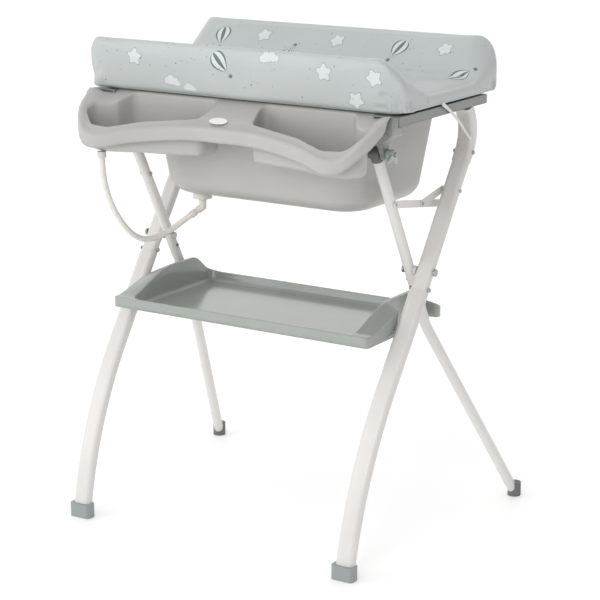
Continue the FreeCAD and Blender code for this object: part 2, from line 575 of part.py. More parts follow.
def add_top_frame():
    rail_in, rail_out, low = cell("rail_in"), cell("rail_out"), cell("rail_low")
    hinge_y, hinge_z = inner_y(cell("inner_top_up")), cell("inner_top_up")
    for side, sign in SIDES:
        x_low, x_high = span(sign, rail_in, rail_out)
        base = spot(x_low, cell("rail_front"), low)
        outer = block("rail_outside_" + side, base, Width="sizes.rail_rear - sizes.rail_front", Height="rail_tall")
        outer.setExpression("Length", "sizes.rail_out - sizes.rail_in")
        room = block("rail_room_" + side, base + Vector(cell("rail_wall"), -5, -cell("rail_wall")),
                     Height="rail_tall")
        room.setExpression("Length", "sizes.rail_out - sizes.rail_in - 2 * sizes.rail_wall")
        room.setExpression("Width", "sizes.rail_rear - sizes.rail_front + 10")
        rail = cut("rail_" + side, outer, room)
        keep(rail, "side_rail_" + side)

        rings = []
        for index, (z, front, rear, near, far) in enumerate(BRACKET_RINGS):
            x_near, x_far = span(sign, near, far)
            rings.append(plan_profile("bracket_ring_%s_%d" % (side, index), z,
                                      [(x_near, front), (x_far, front), (x_far, rear), (x_near, rear)], [3.5] * 4))
        whole = loft("bracket_whole_" + side, rings)
        seat_low, seat_high = span(sign, cell("bracket_in"), cell("cross_reach"))
        seat = cylinder("bracket_seat_" + side, spot(seat_low, cell("front_cross_y"), cell("front_cross_up")), ACROSS,
                        Radius="sizes.cross_dia / 2", Height="%f" % (seat_high - seat_low))
        near, far = span(sign, cell("bracket_in") - 5, cell("bracket_out") + 5)
        keep(drill(cut("bracket_seated_" + side, whole, seat), "bracket_open_" + side, near, far, hinge_y, hinge_z,
                   "sizes.hinge_bolt_dia", "2 * sizes.running_gap"), "front_bracket_" + side)

        bolt_low, bolt_high = span(sign, cell("inner_leg_x") - 13, cell("bracket_out") + 22)
        shank = cylinder("hinge_shank_" + side, spot(bolt_low, hinge_y, hinge_z), ACROSS,
                         Radius="sizes.hinge_bolt_dia / 2", Height="%f" % (bolt_high - bolt_low))
        head_base = spot(sign * (cell("inner_leg_x") - 13), hinge_y, hinge_z)
        head = cylinder("hinge_head_" + side, head_base, ACROSS * -sign, Radius="6.5", Height="4")
        keep(fuse("hinge_bolt_solid_" + side, [shank, head]), "hinge_bolt_" + side)
        add_knob(side, sign, hinge_y, hinge_z)

    for name, y, z in (("front_cross_tube", cell("front_cross_y"), cell("front_cross_up")),
                       ("rear_cross_tube", cell("rear_cross_y"), cell("rear_cross_up"))):
        reach = cell("rail_in") if name == "rear_cross_tube" else cell("cross_reach")
        outer = cylinder(name + "_outside", spot(-reach, y, z), ACROSS, Radius="sizes.cross_dia / 2",
                         Height="%f" % (2 * reach))
        bore = cylinder(name + "_bore", spot(-reach - 1, y, z), ACROSS, Radius="sizes.cross_dia / 2 - 1.2",
                        Height="%f" % (2 * reach + 2))
        keep(cut(name + "_cut", outer, bore), name)


def add_knob(side, sign, y, z):
    """A knob with a round hub and two flat wings, on the outer end of the hinge bolt."""
    start = cell("bracket_out") + 0.6
    centre = spot(sign * start, y, z)
    hub = cylinder("knob_hub_" + side, centre, ACROSS * sign, Radius="8", Height="18")
    wings = []
    for index, angle in enumerate((122, 214)):
        wing = block("knob_wing_%s_%d" % (side, index), Vector(0, 0, 0), Length="10", Width="4", Height="20")
        turn = Rotation(ACROSS, angle)
        low = Vector(10 if sign > 0 else -20, -2, 4)
        wing.Placement = Placement(centre + turn.multVec(low), turn)
        wings.append(wing)
    solid = fuse("knob_solid_" + side, [hub] + wings)
    bore = cylinder("knob_bore_" + side, centre - ACROSS * sign * 2, ACROSS * sign,
                    Radius="sizes.hinge_bolt_dia / 2 + 0.05", Height="22.2")
    keep(cut("knob_" + side, solid, bore), "wing_knob_" + side)


# Bath: a basin between the rails, a rim that rests on them, and a wavy front deck with two soap cups

def rounded_ring(name, half_x, front, rear, front_round, rear_round, z):
    points = [(half_x, front), (half_x, rear), (-half_x, rear), (-half_x, front)]
    return plan_profile(name, z, points, [front_round, rear_round, rear_round, front_round])


def loft(name, sections):
    thing = doc.addObject("Part::Loft", name)
    thing.Sections, thing.Solid, thing.Ruled = sections, True, True
    return thing


def basin(name, inset, floor, top):
    low_x, top_x = cell("tub_low_x") - inset, cell("tub_top_x") - inset
    low_front, low_rear = cell("tub_low_front") + inset, cell("tub_low_rear") - inset
    top_front, top_rear = cell("tub_top_front") + inset, cell("tub_top_rear") - inset
    front_round, rear_round, heel = cell("tub_front_round") - inset, cell("tub_rear_round") - inset, 16
    return loft(name, [
        rounded_ring(name + "_floor", low_x - heel, low_front + heel, low_rear - heel, front_round - heel,
                     rear_round - heel, floor),
        rounded_ring(name + "_heel", low_x, low_front, low_rear, front_round, rear_round, floor + heel),
        rounded_ring(name + "_top", top_x, top_front, top_rear, front_round, rear_round, top)])


def deck_top(y):
    """Height of the sloping deck at a distance in front of the rim."""
    back, front = cell("deck_back"), cell("deck_front")
    rim = cell("tub_rim") + cell("flange_thick")
    return rim + (y - back) * (rim - cell("deck_front_up")) / (back - front)


def deck_slab(name, drop, depth):
    """Everything under the sloping deck surface, lowered by drop, down to depth below it."""
    back, front = -130, cell("deck_front") - 20
    points = [(back, deck_top(cell("deck_back")) - drop), (cell("deck_back"), deck_top(cell("deck_back")) - drop),
              (front, deck_top(front) - drop), (front, deck_top(front) - depth),
              (cell("deck_back"), deck_top(cell("deck_back")) - depth), (back, deck_top(cell("deck_back")) - depth)]
    return extrude(name, side_profile(name + "_profile", -400, points), ACROSS, "800")


def offset(name, source, value):
    thing = doc.addObject("Part::Offset2D", name)
    thing.Source, thing.Value, thing.Join = source, value, 0
    return thing


def common(name, first, second):
    thing = doc.addObject("Part::Common", name)
    thing.Base, thing.Tool = first, second
    return thing


def add_tub():
    wing, back, inner_end = cell("wing_x"), cell("wing_back"), 305
    right = [(inner_end, -136), (inner_end, back), (wing, back), (wing - 4, -238), (325, -283),
             (270, cell("deck_front")), (180, -260), (60, -236)]
    radii = [0, 0, 5, 40, 40, 60, 120, 120]
    left = [(-x, y) for x, y in right[::-1]]
    deck_plan = plan_profile("deck_plan", 700, left + right, radii[::-1] + radii)
    body = common("deck_body", extrude("deck_column", deck_plan, UP, "300"),
                  deck_slab("deck_skin", 0, cell("skirt_tall")))
    under = common("deck_under", extrude("deck_under_column", offset("deck_inset", deck_plan, -3.5), UP, "300"),
                   deck_slab("deck_hollow", 3.2, 200))
    shell = cut("deck_shell", body, under)
    flange = plan_profile("flange_plan", cell("tub_rim"), [
        (cell("flange_x"), -166), (cell("flange_x"), cell("flange_rear")),
        (-cell("flange_x"), cell("flange_rear")), (-cell("flange_x"), -166)], [4, 10, 10, 4])
    flange_plate = extrude("flange_plate", flange, UP, "sizes.flange_thick")
    cups_out, cups_in = [], []
    for side, sign in SIDES:
        points = [(sign * x, y) for x, y in ((44, -157), (268, -157), (286, -191), (328, -216), (333, -243),
                                             (303, -273), (262, -276), (185, -247), (60, -222))]
        if sign < 0:
            points = points[::-1]
        rounds = [14, 20, 14, 14, 16, 24, 40, 90, 14]
        rounds = rounds if sign > 0 else rounds[::-1]
        pocket = plan_profile("cup_plan_" + side, cell("cup_low"), points, rounds)
        out = extrude("cup_column_" + side, offset("cup_outer_plan_" + side, pocket, 3), UP, "130")
        cups_out.append(common("cup_outside_" + side, out, deck_slab("cup_cap_" + side, 0, 200)))
        room = extrude("cup_room_" + side, pocket, UP, "130")
        room.Placement = Placement(Vector(0, 0, 3), Rotation())
        cups_in.append(room)
    outside = basin("basin_outside", 0, cell("tub_low"), cell("tub_rim") + 1)
    inside = basin("basin_inside", cell("tub_wall"), cell("tub_low") + cell("tub_wall"),
                   cell("tub_rim") + cell("flange_thick") + 1)
    solid = fuse("tub_solid", [shell, flange_plate, outside] + cups_out)
    drain = cylinder("drain_opening", spot(cell("drain_x"), cell("drain_y"), cell("tub_low") - 5), UP,
                     Radius="sizes.drain_hole / 2", Height="20")
    rooms = fuse("tub_rooms", [inside, drain] + cups_in)
    keep(cut("tub_open", solid, rooms), "bath_tub")

    badge_x, badge_y = -14, -220
    tilt = math.degrees(math.atan2(cell("tub_rim") + cell("flange_thick") - cell("deck_front_up"),
                                   cell("deck_back") - cell("deck_front")))
    badge = doc.addObject("Part::Ellipse", "badge_outline")
    badge.MajorRadius, badge.MinorRadius = 21, 10
    badge.Placement = Placement(spot(badge_x, badge_y, deck_top(badge_y) + 0.05), Rotation(ACROSS, tilt))
    disc = extrude("badge_disc", badge, Vector(0, -math.sin(math.radians(tilt)), math.cos(math.radians(tilt))), "1.2")
    keep(disc, "badge_plate")


# Drain, plug and hose

HOSE_ROUTE = [(-181.4, -66.3, 640.6), (-203, -84, 621), (-220, -103, 603), (-236, -131, 590), (-249, -162, 589),
              (-259, -190, 606), (-267, -215, 636), (-272, -237, 672), (-275, -251, 709), (-277, -259, 748),
              (-277, -260, 786)]


def hose_path(points):
    """Straight runs joined by tangent arcs, each as large as its two runs allow."""
    edges, last, radii = [], points[0], []
    for before, corner, after in zip(points, points[1:], points[2:]):
        back, on = before - corner, after - corner
        trim = 0.45 * min(back.Length, on.Length)
        back, on = back.normalize(), on.normalize()
        half_turn = (math.pi - back.getAngle(on)) / 2
        radius = trim / math.tan(half_turn)
        radii.append(radius)
        middle = (back + on).normalize() * (radius / math.cos(half_turn) - radius)
        edges.append(Part.LineSegment(last, corner + back * trim).toShape())
        edges.append(Part.Arc(corner + back * trim, corner + middle, corner + on * trim).toShape())
        last = corner + on * trim
    edges.append(Part.LineSegment(last, points[-1]).toShape())
    return edges, radii


def add_drain():
    x, y, floor = cell("drain_x"), cell("drain_y"), cell("tub_low") + cell("tub_wall")

    def turned(name, rings):
        """Stacked rings about the drain's axis: (low z, high z, outer radius, inner radius)."""
        pieces = []
        for index, (low, high, outer, inner) in enumerate(rings):
            solid = cylinder("%s_%d" % (name, index), spot(x, y, low), UP, Radius=str(outer),
                             Height="%f" % (high - low))
            if inner:
                bore = cylinder("%s_bore_%d" % (name, index), spot(x, y, low - 1), UP, Radius=str(inner),
                                Height="%f" % (high - low + 2))
                solid = cut("%s_ring_%d" % (name, index), solid, bore)
            pieces.append(solid)
        return fuse(name, pieces) if len(pieces) > 1 else pieces[0]

    keep(turned("drain_seat_solid", [(floor, floor + 2.5, 21, 10.5), (674, floor, 13.9, 10.5)]), "drain_seat")
    keep(turned("drain_nut_solid", [(670, cell("tub_low") - 0.2, 20, 14.1)]), "drain_nut")
    keep(turned("drain_plug_solid", [(floor + 2.8, floor + 7, 13.5, 0), (floor - 4, floor + 3, 10.1, 0),
                                     (floor + 6.9, floor + 17, 3.5, 0), (floor + 16.9, floor + 21, 6.5, 0)]),
         "drain_plug")
    corner = spot(x, y, 651)
    first = spot(*HOSE_ROUTE[0])
    arm = first - corner
    down = cylinder("elbow_down", corner, UP, Radius="8", Height="23")
    collar = cylinder("elbow_collar", corner + UP * 16, UP, Radius="10.4", Height="8")
    ball = doc.addObject("Part::Sphere", "elbow_ball")
    ball.Radius = 8
    ball.Placement = Placement(corner, Rotation())
    along = cylinder("elbow_along", corner, arm, Radius="8", Height="%f" % (arm.Length * 0.75))
    tip = cylinder("elbow_tip", corner, arm, Radius="6", Height="%f" % (arm.Length - 0.05))
    keep(fuse("drain_elbow_solid", [down, collar, ball, along, tip]), "drain_elbow")

    points = [spot(*place) for place in HOSE_ROUTE]
    edges, radii = hose_path(points)
    spine = path("hose_spine", edges)
    start = towards((points[1] - points[0]).normalize(), points[0])
    hose = sweep("hose_tube", ring_sketch("hose_outline", "sizes.hose_dia / 2", start), spine)
    keep(hose, "drain_hose")
    doc.recompute()
    section = math.pi * (cell("hose_dia") / 2) ** 2
    length = spine.Shape.Length
    share = hose.Shape.Volume / (section * length)
    print("hose length %.1f, volume over section times length %.4f" % (length, share))
    print("hose radii", ["%.0f" % radius for radius in radii])

    first_run = points[1] - points[0]
    sleeve = cylinder("sleeve_solid", points[0], first_run, Radius="7.6", Height="13")
    room = cylinder("sleeve_room", points[0] - first_run * 0.1, first_run,
                    Radius="sizes.hose_dia / 2 + 0.05", Height="18")
    keep(cut("sleeve", sleeve, room), "hose_sleeve")
    end = points[-1]
    holder = cylinder("holder_solid", end - UP * 9, UP, Radius="9", Height="12.8")
    holder_room = cylinder("holder_room", end - UP * 12, UP, Radius="sizes.hose_dia / 2 + 0.5", Height="12.1")
    keep(cut("holder", holder, holder_room), "hose_holder")


# Mat: a board hinged on the rear cross tube, a pad with two wedge bolsters, and a strap to each elbow

def add_mat():
    half_x, front, rear, low = cell("mat_x"), cell("mat_front"), cell("mat_rear"), cell("mat_low")
    inset, corner = cell("board_inset"), 24
    board_plan = rounded_ring("board_plan", half_x - inset, front + inset, rear - inset, corner, corner, low)
    board = extrude("board_plate", board_plan, UP, "sizes.board_thick")
    keep(board, "mat_board")
    pocket = extrude("board_pocket", board_plan, UP, "sizes.board_thick")
    base, flat = low, low + cell("pad_end")
    foot, peak = cell("bolster_foot"), cell("peak_wide")
    points = [(front, base), (cell("front_peak_y"), cell("front_peak_up")),
              (cell("front_peak_y") + peak, cell("front_peak_up")), (front + foot, flat),
              (rear - foot, flat), (cell("rear_peak_y") - peak, cell("rear_peak_up")),
              (cell("rear_peak_y"), cell("rear_peak_up")), (rear, base)]
    lengthwise = extrude("pad_lengthwise", side_profile("pad_profile", -half_x, points,
                                                        [0, 7, 7, 20, 20, 7, 7, 0]), ACROSS, "2 * sizes.mat_x")
    ends = outline("pad_ends", [spot(x, -400, z) for x, z in (
        (-half_x, base), (half_x, base), (half_x, flat - 4), (cell("peak_x"), cell("rear_peak_up") + 2),
        (-cell("peak_x"), cell("rear_peak_up") + 2), (-half_x, flat - 4))])
    pad = common("pad_whole", lengthwise, extrude("pad_limits", ends, Vector(0, 1, 0), "800"))
    keep(cut("pad_open", pad, pocket), "mat_pad")
    hinges = []
    y, z = cell("rear_cross_y"), cell("rear_cross_up")
    for side, sign in SIDES:
        start = sign * cell("hinge_x") - cell("hinge_wide") / 2
        ring = cylinder("hinge_ring_" + side, spot(start, y, z), ACROSS, Radius="sizes.hinge_ring / 2",
                        Height="sizes.hinge_wide")
        half = cell("hinge_ring") / 2
        web = block("hinge_web_" + side, spot(start, y - half, z), Length="hinge_wide", Width="hinge_ring",
                    Height="%f" % (low - z))
        hinges.append(drill(fuse("hinge_solid_" + side, [ring, web]), "hinge_open_" + side, start - 1,
                            start + cell("hinge_wide") + 1, y, z, "sizes.cross_dia", "2 * sizes.running_gap"))
    keep(group("mat_hinge_group", hinges), "mat_hinges")
    for side, sign in SIDES:
        path_points = [(374.5, -5, 903), (371.5, 40, 880), (360.3, 108, 841), (360.3, 140, 824)]
        add_strap(side, sign, path_points)


def add_strap(side, sign, points):
    """A flat elastic band down the outside of the rail, then round the back of the elbow."""
    thick, wide = cell("strap_thick"), cell("strap_wide")
    pieces = []
    for index, (first, second) in enumerate(zip(points, points[1:])):
        start, end = spot(sign * first[0], first[1], first[2]), spot(sign * second[0], second[1], second[2])
        along = (end - start).normalize()
        out = Vector(sign, 0, 0)
        side_way = along.cross(out).normalize()
        face_out = side_way.cross(along).normalize()
        half = side_way * (wide / 2)
        ring = Part.makePolygon([start - half, start + half, start + half + face_out * thick,
                                 start - half + face_out * thick, start - half])
        pieces.append(Part.Face(ring).extrude(end + along * 0.4 - start))
    last = spot(sign * points[-1][0], points[-1][1], points[-1][2])
    along = (last - spot(sign * points[-2][0], points[-2][1], points[-2][2])).normalize()
    width = along.cross(Vector(sign, 0, 0)).normalize() * (wide / 2)
    end = last + along * 45
    outer_run = Part.makePolygon([last - width, last + width, last + width + Vector(sign * thick, 0, 0),
                                  last - width + Vector(sign * thick, 0, 0), last - width])
    pieces.append(Part.Face(outer_run).extrude(end + along * thick - last))
    back = Part.makePolygon([end - width, end + width, end + width + along * thick,
                             end - width + along * thick, end - width])
    reach = points[-1][0] - 314
    pieces.append(Part.Face(back).extrude(Vector(-sign * reach, 0, 0)))
    whole = pieces[0]
    for piece in pieces[1:]:
        whole = whole.fuse(piece)
    thing = doc.addObject("Part::Feature", "strap_" + side)
    thing.Shape = whole.removeSplitter()
    keep(thing, "mat_strap_" + side)


for side, sign in SIDES:
    outer_leg(side, sign)
    inner_leg(side, sign)
add_bolts()
add_stay()
add_shelf()
add_top_frame()
add_tub()
add_drain()
add_mat()
doc.recompute()

for thing in doc.Objects:
    if "Invalid" in thing.State or "Error" in thing.State:
        raise RuntimeError("failed object: %s %s" % (thing.Name, thing.State))
os.makedirs("parts", exist_ok=True)
for thing in nodes:
    shape = thing.Shape
    if shape.isNull() or not shape.isValid() or not shape.Solids:
        raise RuntimeError("bad shape: " + thing.Label)
    shape.exportStep("parts/%s.step" % thing.Label)
print(len(nodes), "sub-parts written")
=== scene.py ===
"""Looks of a folding changing table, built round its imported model. Lengths are metres in the model's frame."""

import json
import math
import random

import bpy
import numpy as np
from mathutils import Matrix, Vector
from mathutils.bvhtree import BVHTree
from mathutils.geometry import delaunay_2d_cdt


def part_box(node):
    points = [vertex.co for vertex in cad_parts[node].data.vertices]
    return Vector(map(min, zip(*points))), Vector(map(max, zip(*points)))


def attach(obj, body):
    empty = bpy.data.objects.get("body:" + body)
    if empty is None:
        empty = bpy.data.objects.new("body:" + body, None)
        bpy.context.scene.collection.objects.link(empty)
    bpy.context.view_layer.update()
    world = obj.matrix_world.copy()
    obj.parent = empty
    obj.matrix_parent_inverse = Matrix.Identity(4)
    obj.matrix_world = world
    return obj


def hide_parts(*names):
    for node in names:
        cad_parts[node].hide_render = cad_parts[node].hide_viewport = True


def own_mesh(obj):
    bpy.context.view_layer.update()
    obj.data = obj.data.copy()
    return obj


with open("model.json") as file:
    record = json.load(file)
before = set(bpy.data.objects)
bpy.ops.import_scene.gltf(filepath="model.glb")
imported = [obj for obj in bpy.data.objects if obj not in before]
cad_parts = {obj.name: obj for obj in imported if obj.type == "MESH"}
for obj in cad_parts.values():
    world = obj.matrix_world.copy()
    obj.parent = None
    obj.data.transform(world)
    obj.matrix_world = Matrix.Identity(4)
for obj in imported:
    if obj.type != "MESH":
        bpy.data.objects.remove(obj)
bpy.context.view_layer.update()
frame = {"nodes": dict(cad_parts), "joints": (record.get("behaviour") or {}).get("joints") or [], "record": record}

scene = bpy.context.scene
joints = {joint["name"]: joint for joint in frame["joints"]}
PIVOT_Y = joints["frame_fold"]["pos_m"][1]
SIDES = (("left", -1), ("right", 1))


def spot(x, y, z):
    """A place whose y is counted from the legs' pivot line, as in the design."""
    return Vector((x, y + PIVOT_Y, z))


def ease(low, high, value):
    """0 below low, 1 above high, smooth between."""
    share = min(1.0, max(0.0, (value - low) / (high - low)))
    return share * share * (3 - 2 * share)


# Camera

def add_camera():
    data = bpy.data.cameras.new("camera")
    data.lens, data.sensor_width = 117.18, 36
    camera = bpy.data.objects.new("camera", data)
    camera.location = (2.1723, -3.3783, 1.4945)
    camera.rotation_euler = (math.radians(90 - 14.509), 0, math.radians(32.385))
    scene.collection.objects.link(camera)
    scene.camera = camera


add_camera()


# Materials

def shader(name):
    """A new material, its nodes and its main surface node."""
    made = bpy.data.materials.new(name)
    made.use_nodes = True
    return made, made.node_tree, made.node_tree.nodes["Principled BSDF"]


def noise(tree, scale, detail, stretch=(1, 1, 1)):
    place = tree.nodes.new("ShaderNodeTexCoord")
    turn = tree.nodes.new("ShaderNodeMapping")
    turn.inputs["Scale"].default_value = stretch
    cloud = tree.nodes.new("ShaderNodeTexNoise")
    cloud.inputs["Scale"].default_value = scale
    cloud.inputs["Detail"].default_value = detail
    tree.links.new(place.outputs["Object"], turn.inputs["Vector"])
    tree.links.new(turn.outputs["Vector"], cloud.inputs["Vector"])
    return cloud.outputs["Fac"]


def between(tree, value, low, high):
    """Maps the middle of a noise to the range low to high."""
    span = tree.nodes.new("ShaderNodeMapRange")
    span.inputs["From Min"].default_value, span.inputs["From Max"].default_value = 0.3, 0.7
    span.inputs["To Min"].default_value, span.inputs["To Max"].default_value = low, high
    tree.links.new(value, span.inputs["Value"])
    return span.outputs["Result"]


def tinted(tree, value, color, spread):
    """A colour that wanders a little darker and lighter with value."""
    ramp = tree.nodes.new("ShaderNodeValToRGB")
    low, high = ramp.color_ramp.elements
    low.position, high.position = 0.3, 0.7
    low.color = [c * (1 - spread) for c in color] + [1]
    high.color = [min(1, c * (1 + spread)) for c in color] + [1]
    tree.links.new(value, ramp.inputs["Fac"])
    return ramp.outputs["Color"]


def grain(tree, surface, value, strength, distance):
    """Roughens the surface's normals with value, and gives the node that does it."""
    bump = tree.nodes.new("ShaderNodeBump")
    bump.inputs["Strength"].default_value, bump.inputs["Distance"].default_value = strength, distance
    tree.links.new(value, bump.inputs["Height"])
    tree.links.new(bump.outputs["Normal"], surface.inputs["Normal"])
    return bump


def plastic(name, color, rough, spread=0.03, strength=0.25, coat=0.0, through=0.0):
    """Moulded plastic with a fine grain and a faint wander of tone, and a gloss or a glow where asked."""
    made, tree, surface = shader(name)
    surface.inputs["Coat Weight"].default_value = coat
    surface.inputs["Coat Roughness"].default_value = 0.15
    if through:
        surface.inputs["Subsurface Weight"].default_value = through
        surface.inputs["Subsurface Radius"].default_value = (0.01, 0.008, 0.006)
    tree.links.new(tinted(tree, noise(tree, 14, 3), color, spread), surface.inputs["Base Color"])
    tree.links.new(between(tree, noise(tree, 60, 4), rough * 0.85, rough * 1.15), surface.inputs["Roughness"])
    grain(tree, surface, noise(tree, 1400, 2), strength, 0.0002)
    return made


def enamel(name, color):
    """Baked powder enamel with a faint orange peel."""
    made, tree, surface = shader(name)
    surface.inputs["Coat Weight"].default_value = 0.35
    surface.inputs["Coat Roughness"].default_value = 0.12
    tree.links.new(tinted(tree, noise(tree, 9, 3), color, 0.02), surface.inputs["Base Color"])
    tree.links.new(between(tree, noise(tree, 40, 4), 0.28, 0.36), surface.inputs["Roughness"])
    grain(tree, surface, noise(tree, 620, 1), 0.12, 0.0002)
    return made


def metal(name, color, rough):
    """Plated steel with fine drawn streaks."""
    made, tree, surface = shader(name)
    surface.inputs["Metallic"].default_value = 1.0
    tree.links.new(tinted(tree, noise(tree, 130, 4), color, 0.14), surface.inputs["Base Color"])
    tree.links.new(between(tree, noise(tree, 500, 3, (1, 1, 12)), rough * 0.7, rough * 1.3),
                   surface.inputs["Roughness"])
    grain(tree, surface, noise(tree, 900, 2, (1, 1, 8)), 0.2, 0.0001)
    return made


def coated_film(name, color):
    """Soft PVC film: satin, with a leathery pebble and a soft wander of tone."""
    made, tree, surface = shader(name)
    surface.inputs["Sheen Weight"].default_value = 0.15
    surface.inputs["Sheen Roughness"].default_value = 0.4
    surface.inputs["Coat Weight"].default_value = 0.15
    surface.inputs["Coat Roughness"].default_value = 0.35
    tree.links.new(tinted(tree, noise(tree, 7, 3), color, 0.025), surface.inputs["Base Color"])
    tree.links.new(between(tree, noise(tree, 50, 3), 0.36, 0.46), surface.inputs["Roughness"])
    pebble = tree.nodes.new("ShaderNodeTexVoronoi")
    pebble.inputs["Scale"].default_value = 700
    place = tree.nodes.new("ShaderNodeTexCoord")
    tree.links.new(place.outputs["Object"], pebble.inputs["Vector"])
    fine = grain(tree, surface, pebble.outputs["Distance"], 0.18, 0.0002)
    broad = tree.nodes.new("ShaderNodeBump")
    broad.inputs["Strength"].default_value, broad.inputs["Distance"].default_value = 0.22, 0.004
    tree.links.new(noise(tree, 26, 3), broad.inputs["Height"])
    tree.links.new(broad.outputs["Normal"], fine.inputs["Normal"])
    return made


def elastic(name, color):
    """Woven elastic: fine cords along the band crossed by the weft."""
    made, tree, surface = shader(name)
    surface.inputs["Sheen Weight"].default_value = 0.3
    surface.inputs["Roughness"].default_value = 0.8
    place = tree.nodes.new("ShaderNodeTexCoord")
    weave = tree.nodes.new("ShaderNodeTexWave")
    weave.inputs["Scale"].default_value = 320
    weave.inputs["Distortion"].default_value = 0.6
    tree.links.new(place.outputs["Object"], weave.inputs["Vector"])
    tree.links.new(tinted(tree, weave.outputs["Fac"], color, 0.06), surface.inputs["Base Color"])
    grain(tree, surface, weave.outputs["Fac"], 0.5, 0.0005)
    return made


MATERIALS = {
    "frame_enamel": enamel("frame_enamel", (0.72, 0.70, 0.67)),
    "outer_foot_plastic": plastic("outer_foot_plastic", (0.30, 0.335, 0.33), 0.42),
    "inner_foot_plastic": plastic("inner_foot_plastic", (0.155, 0.165, 0.165), 0.6),
    "dark_plastic": plastic("dark_plastic", (0.12, 0.13, 0.125), 0.5),
    "knob_plastic": plastic("knob_plastic", (0.42, 0.47, 0.45), 0.3, coat=0.3, through=0.3),
    "zinc": metal("zinc", (0.42, 0.43, 0.44), 0.4),
    "washer_plastic": plastic("washer_plastic", (0.62, 0.61, 0.58), 0.45),
    "rail_green": plastic("rail_green", (0.235, 0.25, 0.225), 0.34, coat=0.2),
    "shelf_green": plastic("shelf_green", (0.33, 0.36, 0.33), 0.17, strength=0.04, coat=0.5),
    "tub_plastic": plastic("tub_plastic", (0.45, 0.44, 0.42), 0.38, spread=0.02, strength=0.12, coat=0.15),
    "badge_white": plastic("badge_white", (0.85, 0.85, 0.84), 0.2, coat=0.6),
    "drain_plastic": plastic("drain_plastic", (0.72, 0.68, 0.63), 0.35),
    "plug_rubber": plastic("plug_rubber", (0.45, 0.45, 0.43), 0.6),
    "hose_pvc": plastic("hose_pvc", (0.78, 0.74, 0.70), 0.28, strength=0.08, through=0.4),
    "mat_cover": coated_film("mat_cover", (0.485, 0.52, 0.515)),
    "mat_base": plastic("mat_base", (0.06, 0.07, 0.075), 0.6),
    "strap_elastic": elastic("strap_elastic", (0.76, 0.73, 0.68)),
}
INKS = {
    "ink_white": plastic("ink_white", (0.66, 0.69, 0.70), 0.4, spread=0.02),
    "ink_line": plastic("ink_line", (0.32, 0.36, 0.36), 0.42, spread=0.03),
    "ink_green": plastic("ink_green", (0.14, 0.18, 0.17), 0.42, spread=0.05),
}


# Mesh building

class Skin:
    """Points and faces of one sheet, grown ring by ring."""

    def __init__(self):
        self.points, self.faces = [], []

    def ring(self, places):
        first = len(self.points)
        self.points += [Vector(place) for place in places]
        return list(range(first, len(self.points)))

    def bridge(self, first, second, closed=True):
        count = len(first)
        for index in range(count if closed else count - 1):
            after = (index + 1) % count
            self.faces.append((first[index], first[after], second[after], second[index]))

    def stack(self, rings, closed=True):
        made = [self.ring(places) for places in rings]
        for first, second in zip(made, made[1:]):
            self.bridge(first, second, closed)
        return made

    def fill(self, outer, holes, step, height):
        """Joins loops of this skin with a sheet at height(x, y), with points every step inside."""
        loops = [outer] + holes
        flat = [[Vector(self.points[i][:2]) for i in loop] for loop in loops]
        places, edges, known = [], [], []
        for loop, corners in zip(loops, flat):
            start = len(places)
            places += corners
            known += loop
            edges += [(start + i, start + (i + 1) % len(loop)) for i in range(len(loop))]
        low = [min(p[a] for p in flat[0]) for a in (0, 1)]
        high = [max(p[a] for p in flat[0]) for a in (0, 1)]
        for row in range(1, int((high[1] - low[1]) / step) + 1):
            for column in range(1, int((high[0] - low[0]) / step) + 1):
                point = Vector((low[0] + (column + 0.5 * (row % 2)) * step, low[1] + row * step))
                if inside(point, flat) and clear(point, flat, 0.6 * step):
                    places.append(point)
        out, _, faces, origin, _, _ = delaunay_2d_cdt(places, edges, [], 0, 1e-7)
        index = {}
        for number, sources in enumerate(origin):
            old = [s for s in sources if s < len(known)]
            if old:
                index[number] = known[old[0]]
        for face in faces:
            middle = sum((out[i] for i in face), Vector((0, 0))) / len(face)
            if not inside(middle, flat):
                continue
            for i in face:
                if i not in index:
                    index[i] = len(self.points)
                    self.points.append(Vector((out[i].x, out[i].y, height(out[i].x, out[i].y))))
            self.faces.append(tuple(index[i] for i in face))

    def made(self, name):
        mesh = bpy.data.meshes.new(name)
        mesh.from_pydata(self.points, [], self.faces)
        mesh.validate()
        mesh.shade_smooth()
        piece = bpy.data.objects.new(name, mesh)
        scene.collection.objects.link(piece)
        return piece


def inside(point, loops):
    """True inside the first loop and outside the others."""
    hits = 0
    x, y = point
    for loop in loops:
        for first, second in zip(loop, loop[1:] + loop[:1]):
            if (first.y > y) != (second.y > y):
                if x < first.x + (y - first.y) * (second.x - first.x) / (second.y - first.y):
                    hits += 1
    return hits % 2 == 1


def clear(point, loops, gap):
    return all((point - corner).length > gap for loop in loops for corner in loop)


def rounded(corners, radii, step):
    """A closed outline through corners with tangent arcs, as points about step apart."""
    points = []
    count = len(corners)
    for i in range(count):
        corner, radius = Vector(corners[i]), radii[i]
        back, on = Vector(corners[i - 1]) - corner, Vector(corners[(i + 1) % count]) - corner
        angle = back.angle(on)
        trim = radius / math.tan(angle / 2)
        back, on = back.normalized(), on.normalized()
        centre = corner + (back + on).normalized() * (radius / math.sin(angle / 2))
        start, end = corner + back * trim, corner + on * trim
        sweep = math.pi - angle
        turn = 1 if (start - centre).cross(end - centre) > 0 else -1
        steps = max(2, int(radius * sweep / step + 0.5))
        for k in range(steps + 1):
            part = turn * sweep * k / steps
            arm = start - centre
            points.append(centre + Vector((arm.x * math.cos(part) - arm.y * math.sin(part),
                                           arm.x * math.sin(part) + arm.y * math.cos(part))))
    return spaced(points, step)


